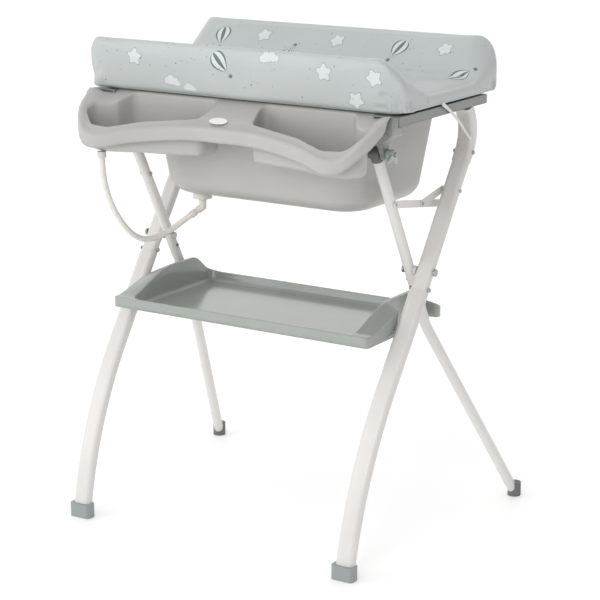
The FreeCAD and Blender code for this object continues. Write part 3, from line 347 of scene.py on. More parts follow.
def spaced(points, step, closed=True):
    """Adds points on the long runs of an outline, so that none is much over step."""
    result = []
    ends = points[1:] + points[:1] if closed else points[1:]
    for first, second in zip(points, ends):
        parts = max(1, int((second - first).length / step + 0.5))
        result += [first.lerp(second, k / parts) for k in range(parts)]
    if not closed:
        result.append(points[-1])
    merged = [result[0]]
    for point in result[1:]:
        if (point - merged[-1]).length > step * 0.2:
            merged.append(point)
    if closed and (merged[0] - merged[-1]).length < step * 0.2:
        merged.pop()
    return merged


def circle(radius, count, middle=(0, 0)):
    return [(middle[0] + radius * math.cos(a), middle[1] + radius * math.sin(a))
            for a in (2 * math.pi * k / count for k in range(count))]


def outward(loop):
    """Unit normals that point out of a loop that runs anticlockwise."""
    normals = []
    for i in range(len(loop)):
        along = (loop[(i + 1) % len(loop)] - loop[i - 1]).normalized()
        normals.append(Vector((along.y, -along.x)))
    return normals


def curve_through(points, step):
    """A smooth line through points, as Catmull-Rom spans, about step apart."""
    ends = [points[0] * 2 - points[1]] + points + [points[-1] * 2 - points[-2]]
    result = []
    for a, b, c, d in zip(ends, ends[1:], ends[2:], ends[3:]):
        parts = max(1, int((c - b).length / step + 0.5))
        for k in range(parts):
            u = k / parts
            result.append(0.5 * (2 * b + (c - a) * u + (2 * a - 5 * b + 4 * c - d) * u * u
                                 + (3 * b - a - 3 * c + d) * u ** 3))
    return result + [points[-1]]


def point_outward(piece):
    """Makes the normals agree, pointing away from the inside of the piece."""
    bpy.context.view_layer.objects.active = piece
    piece.select_set(True)
    bpy.ops.object.mode_set(mode="EDIT")
    bpy.ops.mesh.select_all(action="SELECT")
    bpy.ops.mesh.normals_make_consistent(inside=False)
    bpy.ops.object.mode_set(mode="OBJECT")
    piece.select_set(False)


def face_out(piece, level):
    """Makes the normals of a sheet agree, upward where it lies at a level."""
    point_outward(piece)
    if sum(f.normal.z for f in piece.data.polygons if abs(f.center.z - level) < 0.0005) < 0:
        piece.data.flip_normals()


def dress(piece, material, body=None):
    """Gives the piece its material and, where one is named, the body it rides on."""
    piece.data.materials.clear()
    piece.data.materials.append(material)
    if body:
        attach(piece, body)


def thicken(piece, thick, offset=-1.0):
    wall = piece.modifiers.new("wall", "SOLIDIFY")
    wall.thickness, wall.offset = thick, offset


# Bare metal, tube and moulded pieces whose CAD shape is what shows

def finish_cad_nodes():
    slots = {part["node"]: part["material_slot"] for part in frame["record"]["subparts"]}
    for name, node in frame["nodes"].items():
        node.data.materials.clear()
        node.data.materials.append(MATERIALS[slots[name]])
        weld = node.modifiers.new("weld", "WELD")
        weld.merge_threshold = 0.00002
        edge = node.modifiers.new("edge", "BEVEL")
        edge.width, edge.segments = 0.0006, 2
        edge.limit_method, edge.angle_limit = "ANGLE", math.radians(38)
        edge.use_clamp_overlap = True


finish_cad_nodes()


# Shelf: a tray whose rim rises into an arch at each end, with a notch for the legs

SHELF_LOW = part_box("shelf_tray")[0].z
SHELF_TOP = SHELF_LOW + 0.022
SHELF_WALL = 0.003
ARCH_TALL = 0.042


def shelf_height(x, y):
    """Top of the rim; y in the frame."""
    y -= PIVOT_Y
    along = ease(-0.172, -0.028, y) ** 0.7 * (1 - ease(0.050, 0.122, y))
    across = ease(0.235, 0.268, abs(x)) * (1 - 0.30 * ease(0.279, 0.312, abs(x)))
    return SHELF_TOP + ARCH_TALL * along * across


def shelf_outline(corners, radii):
    """Anticlockwise loop through the corners of its right half and their mirror images."""
    corners = [Vector((x, y + PIVOT_Y)) for x, y in corners]
    corners += [Vector((-c.x, c.y)) for c in reversed(corners)]
    return rounded(corners, radii + radii[::-1], 0.007)


def add_shelf():
    outer = shelf_outline([(0.3124, -0.187), (0.3124, -0.058), (0.281, -0.052), (0.281, 0.094), (0.3124, 0.100),
                           (0.3124, 0.118)], [0.007, 0.010, 0.012, 0.010, 0.006, 0.006])
    inner = shelf_outline([(0.271, -0.1805), (0.271, 0.1115)], [0.022, 0.016])
    skin = Skin()

    def ring(loop, move, level):
        normals = outward(loop)
        return [(p.x + n.x * move, p.y + n.y * move, level(p.x, p.y)) for p, n in zip(loop, normals)]

    roll, heel, draft, floor = 0.0022, 0.011, 0.004, SHELF_LOW + SHELF_WALL
    heel_tall = heel * 0.7
    rings = [ring(outer, 0, lambda x, y: SHELF_LOW), ring(outer, 0, lambda x, y: (SHELF_LOW + SHELF_TOP) / 2)]
    for k in range(5):
        angle = math.pi / 2 * k / 4
        rings.append(ring(outer, -roll * (1 - math.cos(angle)),
                          lambda x, y: shelf_height(x, y) - roll * (1 - math.sin(angle))))
    rim = skin.stack(rings)[-1]
    rings = []
    for k in range(5):
        angle = math.pi / 2 * k / 4
        rings.append(ring(inner, roll * (1 - math.sin(angle)),
                          lambda x, y: shelf_height(x, y) - roll * (1 - math.cos(angle))))
    for share in (0.3, 0.65, 1.0):
        rings.append(ring(inner, -draft * share, lambda x, y: (shelf_height(x, y) - roll)
                          + (floor + heel_tall - shelf_height(x, y) + roll) * share))
    for k in range(1, 6):
        angle = math.pi / 2 * k / 5
        rings.append(ring(inner, -draft - heel * (1 - math.cos(angle)),
                          lambda x, y: floor + heel_tall * (1 - math.sin(angle))))
    well = skin.stack(rings)
    skin.fill(well[-1], [], 0.02, lambda x, y: floor)
    skin.fill(rim, [well[0]], 0.008, shelf_height)
    shelf = skin.made("shelf_moulding")
    face_out(shelf, floor)
    thicken(shelf, SHELF_WALL)
    dress(shelf, MATERIALS["shelf_green"], "outer_frame")
    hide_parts("shelf_tray")


add_shelf()


# Wing knobs: a dished hub with two rounded lobes

KNOB_START = abs(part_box("wing_knob_right")[0].x)
KNOB_HUB, LOBE_LONG, LOBE_HALF = 0.0092, 0.0245, 0.0052
LOBE_TURNS = [math.radians(turn) for turn in (122, 214)]


def knob_reach(angle):
    """How far the knob's outline stands from its axis at an angle."""
    far = KNOB_HUB
    for lobe in LOBE_TURNS:
        off = math.atan2(math.sin(angle - lobe), math.cos(angle - lobe))
        if abs(off) < math.pi / 2:
            bend = (math.cos(off) / LOBE_LONG) ** 3 + (abs(math.sin(off)) / LOBE_HALF) ** 3
            far = max(far, bend ** (-1 / 3))
    return far


def add_knob(side, sign):
    low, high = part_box("hinge_bolt_" + side)
    y, z = (low.y + high.y) / 2, (low.z + high.z) / 2
    skin = Skin()
    angles = [2 * math.pi * k / 120 for k in range(120)]

    def ring(x, shape):
        return [(sign * (KNOB_START + x), y - shape(a) * math.sin(a), z + shape(a) * math.cos(a))
                for a in angles]

    def drawn_in(angle):
        return knob_reach(angle) * 0.93

    # Over the hub's neck and the lobes' edge, then down into the dish
    neck = [ring(x, lambda a: radius) for x, radius in ((0, 0.0085), (0.0100, 0.0088))]
    lobes = [ring(0.0104, drawn_in), ring(0.0116, knob_reach), ring(0.0150, knob_reach), ring(0.0164, drawn_in)]
    dish = [ring(x, lambda a: radius)
            for x, radius in ((0.0170, 0.0086), (0.0172, 0.0070), (0.0158, 0.0058), (0.0138, 0.0040))]
    rings = neck + lobes + dish
    made = skin.stack(rings)
    skin.faces += [tuple(made[0][::-1]), tuple(made[-1])]
    knob = skin.made("knob_" + side)
    point_outward(knob)
    soft = knob.modifiers.new("soft", "BEVEL")
    soft.width, soft.segments, soft.limit_method = 0.0004, 2, "ANGLE"
    dress(knob, MATERIALS["knob_plastic"], "knob_" + side)
    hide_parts("wing_knob_" + side)


for side, sign in SIDES:
    add_knob(side, sign)


# Drain hose, from the elbow under the drain to the holder under the left soap cup

HOSE_ROUTE = [(-0.1814, -0.0663, 0.6406), (-0.203, -0.084, 0.621), (-0.220, -0.103, 0.603),
              (-0.236, -0.131, 0.590), (-0.249, -0.162, 0.589), (-0.259, -0.190, 0.606),
              (-0.267, -0.215, 0.636), (-0.272, -0.237, 0.672), (-0.275, -0.251, 0.709),
              (-0.277, -0.259, 0.748), (-0.277, -0.260, 0.786)]
HOSE_WIDE = 0.012


def add_hose():
    data = bpy.data.curves.new("hose", "CURVE")
    data.dimensions = "3D"
    data.bevel_depth, data.bevel_resolution = HOSE_WIDE / 2, 8
    data.resolution_u = 10
    data.use_fill_caps = True
    line = data.splines.new("NURBS")
    line.points.add(len(HOSE_ROUTE) - 1)
    for point, place in zip(line.points, HOSE_ROUTE):
        point.co = (*spot(*place), 1)
    line.order_u = 3
    line.use_endpoint_u = True
    hose = bpy.data.objects.new("hose", data)
    scene.collection.objects.link(hose)
    dress(hose, MATERIALS["hose_pvc"], "top_frame")
    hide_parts("drain_hose")


add_hose()


# Tub: basin, rim, sloping front deck with two soap cups, and the rounded lip

WALL = 0.003
RIM_UP = 0.905
DECK_BACK = -0.150
DECK_SLOPE = 0.5176
WING_RAISE = 0.022
LIP_TALL, EDGE_TALL = 0.030, 0.0022
STEP = 0.007
BASIN_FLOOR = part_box("drain_nut")[1].z + 0.0032


def deck_height(x, y):
    """Top of the moulding; y from the pivot line."""
    ahead = DECK_BACK - y
    soft, steepest = 0.006, 60
    fall = soft * math.log1p(math.exp(min(steepest, ahead / soft))) * DECK_SLOPE
    return RIM_UP - fall + WING_RAISE * ease(0.298, 0.354, abs(x)) * ease(-0.164, -0.190, y)


def deck_height_row(x, y):
    """Top of the moulding; y in the frame."""
    return deck_height(x, y - PIVOT_Y)


def front_line():
    """Right half of the lip's plan outline: a soft bow out to each cup, then round to the bracket."""
    half = [Vector(p) for p in ((0, -0.2395), (0.06, -0.2395), (0.12, -0.247), (0.20, -0.266), (0.265, -0.290),
                                (0.305, -0.284), (0.335, -0.262), (0.353, -0.230), (0.359, -0.200))]
    return curve_through(half, STEP)


def moulding_outline():
    """Anticlockwise outline of the deck and the flange on the rails, drawn in beside each bracket."""
    ends = [Vector(p) for p in ((0.359, -0.190), (0.3585, -0.180), (0.3555, -0.1735), (0.349, -0.171),
                                (0.340, -0.169), (0.3355, -0.163), (0.335, 0.163), (0.332, 0.170),
                                (0.325, 0.173))]
    right = front_line() + ends
    left = [Vector((-p.x, p.y)) for p in reversed(right)]
    loop = spaced(right + left, STEP)
    loop = [p for i, p in enumerate(loop) if (p - loop[i - 1]).length > 0.0005]
    return [Vector((p.x, p.y + PIVOT_Y)) for p in loop]


def basin_loop(up, inset):
    """Rounded rectangle of the basin's inner wall at a height, moved in by inset."""
    share = (up - BASIN_FLOOR) / (RIM_UP - BASIN_FLOOR)
    arc_points = 36

    def at(bottom, top):
        return bottom + (top - bottom) * share

    half_x, front, rear = at(0.244, 0.278) - inset, at(-0.109, -0.132) + inset, at(0.147, 0.167) - inset
    rear_round, front_round, smallest = 0.036, 0.077, 0.012
    radii = [max(smallest, wide - inset) for wide in (rear_round, rear_round, front_round, front_round)]
    corners = [(half_x, rear), (-half_x, rear), (-half_x, front), (half_x, front)]
    points = []
    for k, ((x, y), radius) in enumerate(zip(corners, radii)):
        cx, cy = x - math.copysign(radius, x), y - (radius if k < 2 else -radius)
        for j in range(arc_points):
            angle = math.radians(90 * k) + math.pi / 2 * j / (arc_points - 1)
            points.append((cx + radius * math.cos(angle), cy + radius * math.sin(angle)))
    return [spot(x, y, up) for x, y in points]


# Right cup's corners, y from the pivot line; the notch at the rear lets the inner leg past at full fold
CUP_CORNERS = [(0.050, -0.158), (0.266, -0.158), (0.285, -0.192), (0.326, -0.217), (0.329, -0.240),
               (0.298, -0.263), (0.256, -0.267), (0.186, -0.2405), (0.064, -0.216)]
CUP_ROUNDS = [0.015, 0.020, 0.014, 0.014, 0.014, 0.024, 0.040, 0.090, 0.015]
CUP_FLOOR = 0.793


def cup_outline(sign):
    """Anticlockwise loop of a cup's mouth."""
    corners, rounds = CUP_CORNERS, CUP_ROUNDS
    if sign > 0:
        corners, rounds = corners[::-1], rounds[::-1]
    corners = [(sign * x, y + PIVOT_Y) for x, y in corners]
    return rounded(corners, rounds, 0.005)


def add_cup(skin, sign):
    """Rolls the deck over the cup's mouth, down its wall and out over its floor. Gives the mouth's loop."""
    loop = cup_outline(sign)
    normals = outward(loop)
    mouth, heel, draft = 0.0045, 0.012, 0.002
    rings = []
    for k in range(6):
        angle = math.pi / 2 * k / 5
        out, drop = mouth * (1 - math.sin(angle)), mouth * (1 - math.cos(angle))
        places = [(p.x + n.x * out, p.y + n.y * out) for p, n in zip(loop, normals)]
        rings.append([(x, y, deck_height_row(x, y) - drop) for x, y in places])
    top = rings[-1]
    for share in (0.25, 0.5, 0.75):
        rings.append([(p.x - n.x * draft * share, p.y - n.y * draft * share,
                       t[2] + (CUP_FLOOR + heel - t[2]) * share) for p, n, t in zip(loop, normals, top)])
    for k in range(6):
        angle = math.pi / 2 * k / 5
        into, up = draft + heel * (1 - math.cos(angle)), heel * (1 - math.sin(angle))
        rings.append([(p.x - n.x * into, p.y - n.y * into, CUP_FLOOR + up) for p, n in zip(loop, normals)])
    made = skin.stack(rings)
    skin.fill(made[-1], [], 0.009, lambda x, y: CUP_FLOOR)
    return made[0]


def add_basin(skin):
    """Rolls the rim down the basin's wall and out over its floor, to the drain. Gives the mouth's loop."""
    mouth, heel = 0.007, 0.034
    drain_radius, drain_points = 0.0141, 32
    rings = []
    for k in range(6):
        angle = math.pi / 2 * k / 5
        rings.append(basin_loop(RIM_UP - mouth * (1 - math.cos(angle)), -mouth * (1 - math.sin(angle))))
    for share in (0.12, 0.25, 0.4, 0.55, 0.7, 0.85, 1.0):
        rings.append(basin_loop(RIM_UP - mouth - (RIM_UP - mouth - BASIN_FLOOR - heel) * share, 0))
    for k in range(1, 8):
        angle = math.pi / 2 * k / 7
        rings.append(basin_loop(BASIN_FLOOR + heel * (1 - math.sin(angle)), heel * (1 - math.cos(angle))))
    made = skin.stack(rings)
    low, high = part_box("drain_seat")
    centre = (low + high) / 2
    hole = skin.ring([(x, y, BASIN_FLOOR) for x, y in circle(drain_radius, drain_points, centre)])
    skin.fill(made[-1], [hole], 0.016, lambda x, y: BASIN_FLOOR)
    return made[0]


def add_lip(skin, loop):
    """Rolls the deck over its edge and down to the lip's foot. Gives the loop where the roll starts."""
    normals = outward(loop)
    rings = []
    lip = [ease(-0.196, -0.212, p.y - PIVOT_Y) for p in loop]
    roll = [0.0016 + 0.0080 * w for w in lip]
    tall = [EDGE_TALL + (LIP_TALL - EDGE_TALL) * w * (1 - 0.35 * ease(0.345, 0.36, abs(p.x)))
            for w, p in zip(lip, loop)]
    tops = [deck_height_row(p.x, p.y) for p in loop]

    def ring(move, drop):
        return [(p.x + n.x * move(i), p.y + n.y * move(i), tops[i] - drop(i))
                for i, (p, n) in enumerate(zip(loop, normals))]

    for k in range(7):
        angle = math.pi / 2 * k / 6
        rings.append(ring(lambda i: -roll[i] * (1 - math.sin(angle)),
                          lambda i: roll[i] * (1 - math.cos(angle))))
    for share in (0.33, 0.66, 1.0):
        rings.append(ring(lambda i: 0.0006 * lip[i] * share,
                          lambda i: roll[i] + (tall[i] - roll[i]) * share))
    return skin.stack(rings[::-1])[-1]


def add_tub():
    skin = Skin()
    outer = add_lip(skin, moulding_outline())
    holes = [add_basin(skin)] + [add_cup(skin, sign) for _, sign in SIDES]
    skin.fill(outer, holes, 0.011, deck_height_row)
    tub = skin.made("tub_moulding")
    face_out(tub, RIM_UP)
    thicken(tub, WALL)
    dress(tub, MATERIALS["tub_plastic"], "top_frame")
    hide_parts("bath_tub")


add_tub()


# Mat: foam under a coated film, with a wedge bolster along each long edge

MAT_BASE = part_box("mat_pad")[0].z + 0.0006
MAT_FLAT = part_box("mat_pad")[0].z + 0.027
MAT_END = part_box("mat_pad")[1].x + 0.005
MAT_FRONT, MAT_REAR = -0.165, 0.251
MAT_FRONT_FOOT, MAT_REAR_FOOT = -0.061, 0.147
# Going up the front face, over the front bolster, across the flat and over the rear bolster
MAT_PROFILE = [(MAT_FRONT, MAT_BASE), (-0.183, 1.0160), (-0.165, 1.0160), (MAT_FRONT_FOOT, MAT_FLAT),
               (MAT_REAR_FOOT, MAT_FLAT), (0.243, 1.0185), (0.260, 1.0185), (MAT_REAR, MAT_BASE)]
MAT_ROUNDS = [0.006, 0.008, 0.008, 0.022, 0.022, 0.008, 0.008, 0.006]
PUFF_CAP = 0.0040
MAT_SAG = 0.0045
SWELL = 0.0022


def bolster_share(x):
    """How much of a bolster's height is left near the mat's ends; the left end is cut almost square."""
    start = 0.318 if x > 0 else MAT_END - 0.024
    share = min(1.0, max(0.0, (abs(x) - start) / (MAT_END - start)))
    fullness = 1.9
    return (1 - share ** fullness) ** (1 / fullness)


def corner_inset(x):
    """How far the plan outline draws in at the mat's rounded corners."""
    radius = 0.042 if x > 0 else 0.010
    over = max(0.0, abs(x) - (MAT_END - radius))
    return radius - math.sqrt(max(0.0, radius ** 2 - over ** 2))


def mat_section(x, profile, shrink):
    """The profile at x, as places in the frame, drawn in by shrink; its front foot sags over the deck."""
    middle, half = 0.043, 0.21
    places = []
    squeeze = 1 - (corner_inset(x) + shrink) / half
    for y, z in profile:
        if z > MAT_FLAT:
            z = MAT_FLAT + (z - MAT_FLAT) * bolster_share(x)
        sag = MAT_SAG * ease(-0.146, -0.160, y) * (1 - ease(MAT_BASE, MAT_BASE + 0.06, z))
        lowered = shrink if z > MAT_BASE + 0.01 else 0
        z = MAT_BASE + max(0.0, z - MAT_BASE) - sag - lowered
        places.append(spot(x, middle + (y - middle) * squeeze, z))
    return places


def mat_blank():
    """The pad before it is blown up: sections along the mat, closer together near its ends."""
    profile = [tuple(p) for p in rounded(MAT_PROFILE, MAT_ROUNDS, 0.006)]
    skin = Skin()
    half = MAT_END - SWELL
    places = [half * math.sin(math.pi / 2 * k / 44) for k in range(-44, 45)]
    edge = 0.007
    rings = []
    for x in places:
        over = max(0.0, abs(x) - (half - edge))
        rings.append(mat_section(x, profile, SWELL + edge - math.sqrt(max(0.0, edge ** 2 - over ** 2))))
    made = skin.stack(rings)
    skin.faces += [tuple(made[0][::-1]), tuple(made[-1])]
    return skin.made("mat_cushion")


def coordinates(piece):
    flat = np.zeros(len(piece.data.vertices) * 3)
    piece.data.vertices.foreach_get("co", flat)
    return flat.reshape(-1, 3)


def bake_modifiers(piece):
    """Replaces a piece's mesh by what its modifiers make of it."""
    graph = bpy.context.evaluated_depsgraph_get()
    mesh = bpy.data.meshes.new_from_object(piece.evaluated_get(graph))
    piece.modifiers.clear()
    piece.data = mesh


def puff_up(piece, pressure, cap, pinned_below):
    """Blows the piece up as cloth with air in it, holding it at its base, and caps how far it swells."""
    frames = 20
    rest = coordinates(piece)
    held = piece.vertex_groups.new(name="held")
    held.add([int(i) for i in np.nonzero(rest[:, 2] < pinned_below)[0]], 1.0, "REPLACE")
    cloth = piece.modifiers.new("air", "CLOTH")
    cloth.settings.use_pressure = True
    cloth.settings.uniform_pressure_force = pressure
    cloth.settings.effector_weights.gravity = 0
    cloth.settings.vertex_group_mass = "held"
    cloth.settings.quality = 4
    cloth.settings.tension_stiffness = cloth.settings.compression_stiffness = 12
    cloth.settings.bending_stiffness = 0.4
    cloth.collision_settings.use_collision = False
    cloth.point_cache.frame_end = frames
    for number in range(1, frames + 1):
        scene.frame_set(number)
    bake_modifiers(piece)
    scene.frame_set(1)
    moved = coordinates(piece) - rest
    length = np.linalg.norm(moved, axis=1)
    share = np.minimum(1.0, cap / np.maximum(length, 1e-9))
    piece.data.vertices.foreach_set("co", (rest + moved * share[:, None]).ravel())
    piece.data.update()
    piece.vertex_groups.clear()


def mat_creases(point):
    """How deep the welded channels and the gathers at the corners press in at a place."""
    x, y, z = abs(point[0]), point[1] - PIVOT_Y, point[2]
    depth = 0.0
    for foot in (MAT_FRONT_FOOT - 0.004, MAT_REAR_FOOT + 0.004):
        if z > MAT_BASE + 0.012:
            depth += 0.0022 * math.exp(-((y - foot) / 0.0045) ** 2)
    if MAT_FRONT_FOOT < y < MAT_REAR_FOOT and z > MAT_BASE + 0.012:
        depth += 0.0020 * math.exp(-((x - (MAT_END - 0.020)) / 0.004) ** 2)
    low = 1 - ease(MAT_BASE + 0.012, MAT_BASE + 0.036, z)
    if low > 0 and z > MAT_BASE + 0.002 and x > MAT_END - 0.045:
        corner = 0.036
        centre_y = MAT_FRONT + corner if y < 0 else MAT_REAR - corner
        past = centre_y - y if y < 0 else y - centre_y
        if past > -0.01:
            angle = math.atan2(abs(y - centre_y), x - (MAT_END - corner))
            depth += 0.0016 * low * (0.5 + 0.5 * math.cos(26 * angle + 2.2 * math.sin(5 * angle)))
    return depth


def add_mat():
    mat = mat_blank()
    blocks = mat.modifiers.new("blocks", "REMESH")
    blocks.mode, blocks.voxel_size = "VOXEL", 0.0055
    smooth = mat.modifiers.new("smooth", "SMOOTH")
    smooth.factor, smooth.iterations = 0.5, 3
    bake_modifiers(mat)
    puff_up(mat, 4.0, PUFF_CAP, MAT_BASE + 0.003)
    finer = mat.modifiers.new("finer", "SUBSURF")
    finer.levels = finer.render_levels = 1
    bake_modifiers(mat)
    mat.data.shade_smooth()
    places = coordinates(mat)
    normals = np.zeros(len(places) * 3)
    mat.data.vertices.foreach_get("normal", normals)
    normals = normals.reshape(-1, 3)
    depth = np.array([mat_creases(place) for place in places])
    places -= normals * depth[:, None]
    floor = np.where(places[:, 1] < PIVOT_Y - 0.150, MAT_BASE - MAT_SAG, MAT_BASE)
    places[:, 2] = np.maximum(places[:, 2], floor)
    mat.data.vertices.foreach_set("co", places.ravel())
    mat.data.update()
    dress(mat, MATERIALS["mat_cover"], "mat")
    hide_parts("mat_pad")
    return mat


MAT = add_mat()


# Print on the mat: ink films a fraction of a millimetre above the finished film

class Print:
    """Shapes drawn on the unrolled mat, x along it and s up its front face and on over the top."""

    def __init__(self, mat):
        line = [Vector(p) for p in rounded(MAT_PROFILE, MAT_ROUNDS, 0.002)]
        foot_up = 0.008
        foot = Vector((-0.1665, MAT_BASE + foot_up))
        start = min(range(len(line)), key=lambda i: (line[i] - foot).length)
        line = line[start:] + line[:start]
        if line[5].y < line[0].y:
            line = [line[0]] + line[:0:-1]
        self.line = line
        self.run = [foot_up]
        for first, second in zip(line, line[1:]):
            self.run.append(self.run[-1] + (second - first).length)
        graph = bpy.context.evaluated_depsgraph_get()
        self.tree = BVHTree.FromObject(mat, graph)
        self.films = {name: Skin() for name in INKS}

    def laid(self, x, s, lift):
        """The place on the film's surface for a point of the drawing."""
        k = max(1, min(len(self.line) - 2, int(np.searchsorted(self.run, s))))
        share = (s - self.run[k - 1]) / (self.run[k] - self.run[k - 1])
        at = self.line[k - 1].lerp(self.line[k], share)
        along = (self.line[k + 1] - self.line[k - 2 if k > 1 else 0]).normalized()
        out = Vector((0, -along.y, along.x))
        place, normal, _, _ = self.tree.ray_cast(spot(x, at.x, at.y) + out * 0.03, -out, 0.08)
        return None if place is None else place + normal * lift

    def draw(self, ink, outline, lift, step=0.0035):
        """Fills an outline, given as points (x, s)."""
        skin = Skin()
        ring = skin.ring([(x, s, 0) for x, s in outline])
        skin.fill(ring, [], step, lambda x, s: 0)
        laid = [self.laid(p.x, p.y, lift) for p in skin.points]
        if any(p is None for p in laid):
            return
        film = self.films[ink]
        first = len(film.points)
        film.points += laid
        film.faces += [tuple(first + i for i in face) for face in skin.faces]

    def finish(self):
        for name, skin in self.films.items():
            film = skin.made("mat_" + name)
            dress(film, INKS[name], "mat")


def placed(points, x, s, size, turn):
    """Points of a motif drawn about 0, turned and moved to its place on the mat."""
    turn = math.radians(turn)
    return [(x + size * (u * math.cos(turn) - v * math.sin(turn)),
             s + size * (u * math.sin(turn) + v * math.cos(turn))) for u, v in points]


def star_outline(grow=0.0):
    corners = []
    for k in range(10):
        radius = (1.0 if k % 2 == 0 else 0.56) + grow * (1.25 if k % 2 == 0 else 0.9)
        angle = math.pi / 2 + math.pi / 5 * k
        corners.append((radius * math.cos(angle), radius * math.sin(angle)))
    return [tuple(p) for p in rounded(corners, [0.16, 0.10] * 5, 0.09)]


def cloud_outline(grow=0.0):
    """The outside of a row of puffs on a flat base."""
    puffs = [(-0.72, -0.05, 0.34), (-0.25, 0.22, 0.46), (0.32, 0.12, 0.40), (0.80, -0.10, 0.28)]
    points = []
    for k in range(72):
        angle = 2 * math.pi * k / 72
        reach = 0.0
        for u, v, radius in puffs + [(0, -0.12, 0.28), (0.45, -0.14, 0.26), (-0.4, -0.12, 0.27)]:
            along = u * math.cos(angle) + v * math.sin(angle)
            off = abs(-u * math.sin(angle) + v * math.cos(angle))
            if off < radius:
                reach = max(reach, along + math.sqrt(radius ** 2 - off ** 2))
        points.append(((reach + grow) * math.cos(angle), (reach + grow) * math.sin(angle)))
    return points


def balloon_width(v):
    """Half width of the balloon at a height from -1.5, its mouth, to 1, its crown."""
    if v > 0:
        return math.sqrt(max(0.0, 1 - v * v))
    return 0.12 + 0.88 * math.cos(math.pi / 2 * min(1.0, -v / 1.5)) ** 0.9


def gore(low, high):
    """One stripe of the balloon, between two shares of its half width."""
    heights = [1 - 2.5 * k / 22 for k in range(23)]
    left = [(low * balloon_width(v), v) for v in heights]
    right = [(high * balloon_width(v), v) for v in reversed(heights)]
    return left[1:] + right


# Lifts of the inks above the film, so that one covers another, and a step too wide to add inner points
UNDER, BESIDE, OVER, SPECK = 0.00012, 0.00018, 0.00024, 0.0003
NO_INNER = 0.02


def draw_star(film, x, s, size, turn):
    film.draw("ink_line", placed(star_outline(0.07), x, s, size, turn), UNDER)
    film.draw("ink_white", placed(star_outline(), x, s, size, turn), OVER)


def draw_cloud(film, x, s, size, turn):
    film.draw("ink_line", placed(cloud_outline(0.05), x, s, size, turn), UNDER)
    film.draw("ink_white", placed(cloud_outline(), x, s, size, turn), OVER)


def draw_balloon(film, x, s, size, turn):
    film.draw("ink_white", placed(gore(-0.97, 0.97), x, s, size, turn), UNDER)
    for low, high in ((-1.0, -0.78), (-0.24, 0.24), (0.78, 1.0)):
        film.draw("ink_green", placed(gore(low, high), x, s, size, turn), OVER, 0.003)
    for side in (-1, 1):
        rope = [(side * 0.10, -1.48), (side * 0.15, -1.48), (side * 0.17, -2.08), (side * 0.12, -2.08)]
        film.draw("ink_line", placed(rope, x, s, size, turn), BESIDE, NO_INNER)
    basket = [(-0.24, -2.05), (0.24, -2.05), (0.19, -2.42), (-0.19, -2.42)]
    film.draw("ink_green", placed(basket, x, s, size, turn), OVER, NO_INNER)


# Where each face of the mat begins on the unrolled drawing
FRONT, SLOPE, FLAT, REAR, BACK = 0.0, 0.110, 0.237, 0.442, 0.584

# Stars and balloons as (x, s, turn), clouds as (x, s, size, turn)
STARS = [(-0.251, FRONT + 0.069, -6), (0.204, FRONT + 0.070, 2), (0.316, FRONT + 0.067, 20),
         (0.273, FRONT + 0.020, 40), (-0.182, REAR + 0.095, 18), (0.004, REAR + 0.095, 24),
         (0.265, REAR + 0.094, 22), (-0.300, SLOPE + 0.060, 10), (0.080, SLOPE + 0.062, 30),
         (-0.170, FLAT + 0.060, 15), (0.160, FLAT + 0.130, -12), (0.020, FLAT + 0.060, 8),
         (-0.250, BACK + 0.050, 12), (0.110, BACK + 0.052, -20)]
CLOUDS = [(-0.160, FRONT + 0.024, 0.019, -8), (-0.118, FRONT + 0.013, 0.015, -4),
          (0.078, FRONT + 0.089, 0.021, 6), (-0.090, FLAT + 0.150, 0.021, 4),
          (0.270, FLAT + 0.050, 0.021, -6), (-0.030, BACK + 0.045, 0.021, 176)]
BALLOONS = [(-0.289, REAR + 0.092, 12), (-0.043, FRONT + 0.076, 42), (0.160, REAR + 0.092, -20),
            (0.322, REAR + 0.022, 136), (-0.108, REAR + 0.036, 158), (-0.290, FLAT + 0.120, -25),
            (0.060, FLAT + 0.160, 30), (0.230, SLOPE + 0.060, 200), (-0.100, SLOPE + 0.066, -15),
            (0.250, BACK + 0.050, 165)]
STAR_SIZE, BALLOON_SIZE = 0.0205, 0.0185
SPECKS = 330


def add_print():
    film = Print(MAT)
    for x, s, turn in STARS:
        draw_star(film, x, s, STAR_SIZE, turn)
    for x, s, size, turn in CLOUDS:
        draw_cloud(film, x, s, size, turn)
    for x, s, turn in BALLOONS:
        draw_balloon(film, x, s, BALLOON_SIZE, turn)
    dice = random.Random(7)
    for _ in range(SPECKS):
        x, s = dice.uniform(-0.35, 0.35), dice.uniform(0.012, BACK + 0.09)
        radius = dice.choice((0.0007, 0.0009, 0.0012, 0.0016))
        ink = dice.choice(("ink_line", "ink_green"))
        film.draw(ink, [(x + u, s + v) for u, v in circle(radius, 10)], SPECK, NO_INNER)
    film.finish()


add_print()


# Elastic straps from the mat's edge round each outer leg's elbow

STRAP_WIDE, STRAP_THICK = 0.0065, 0.0013
STRAP_RUN = [(0.3738, -0.005, 0.9060), (0.3722, 0.020, 0.8935), (0.3700, 0.045, 0.8795),
             (0.3640, 0.085, 0.8570), (0.3555, 0.120, 0.8370), (0.3505, 0.150, 0.8185),
             (0.3500, 0.172, 0.8065), (0.3440, 0.1845, 0.8000), (0.3370, 0.1870, 0.7985),
             (0.3300, 0.1845, 0.8000), (0.3242, 0.172, 0.8065), (0.3240, 0.155, 0.8155)]


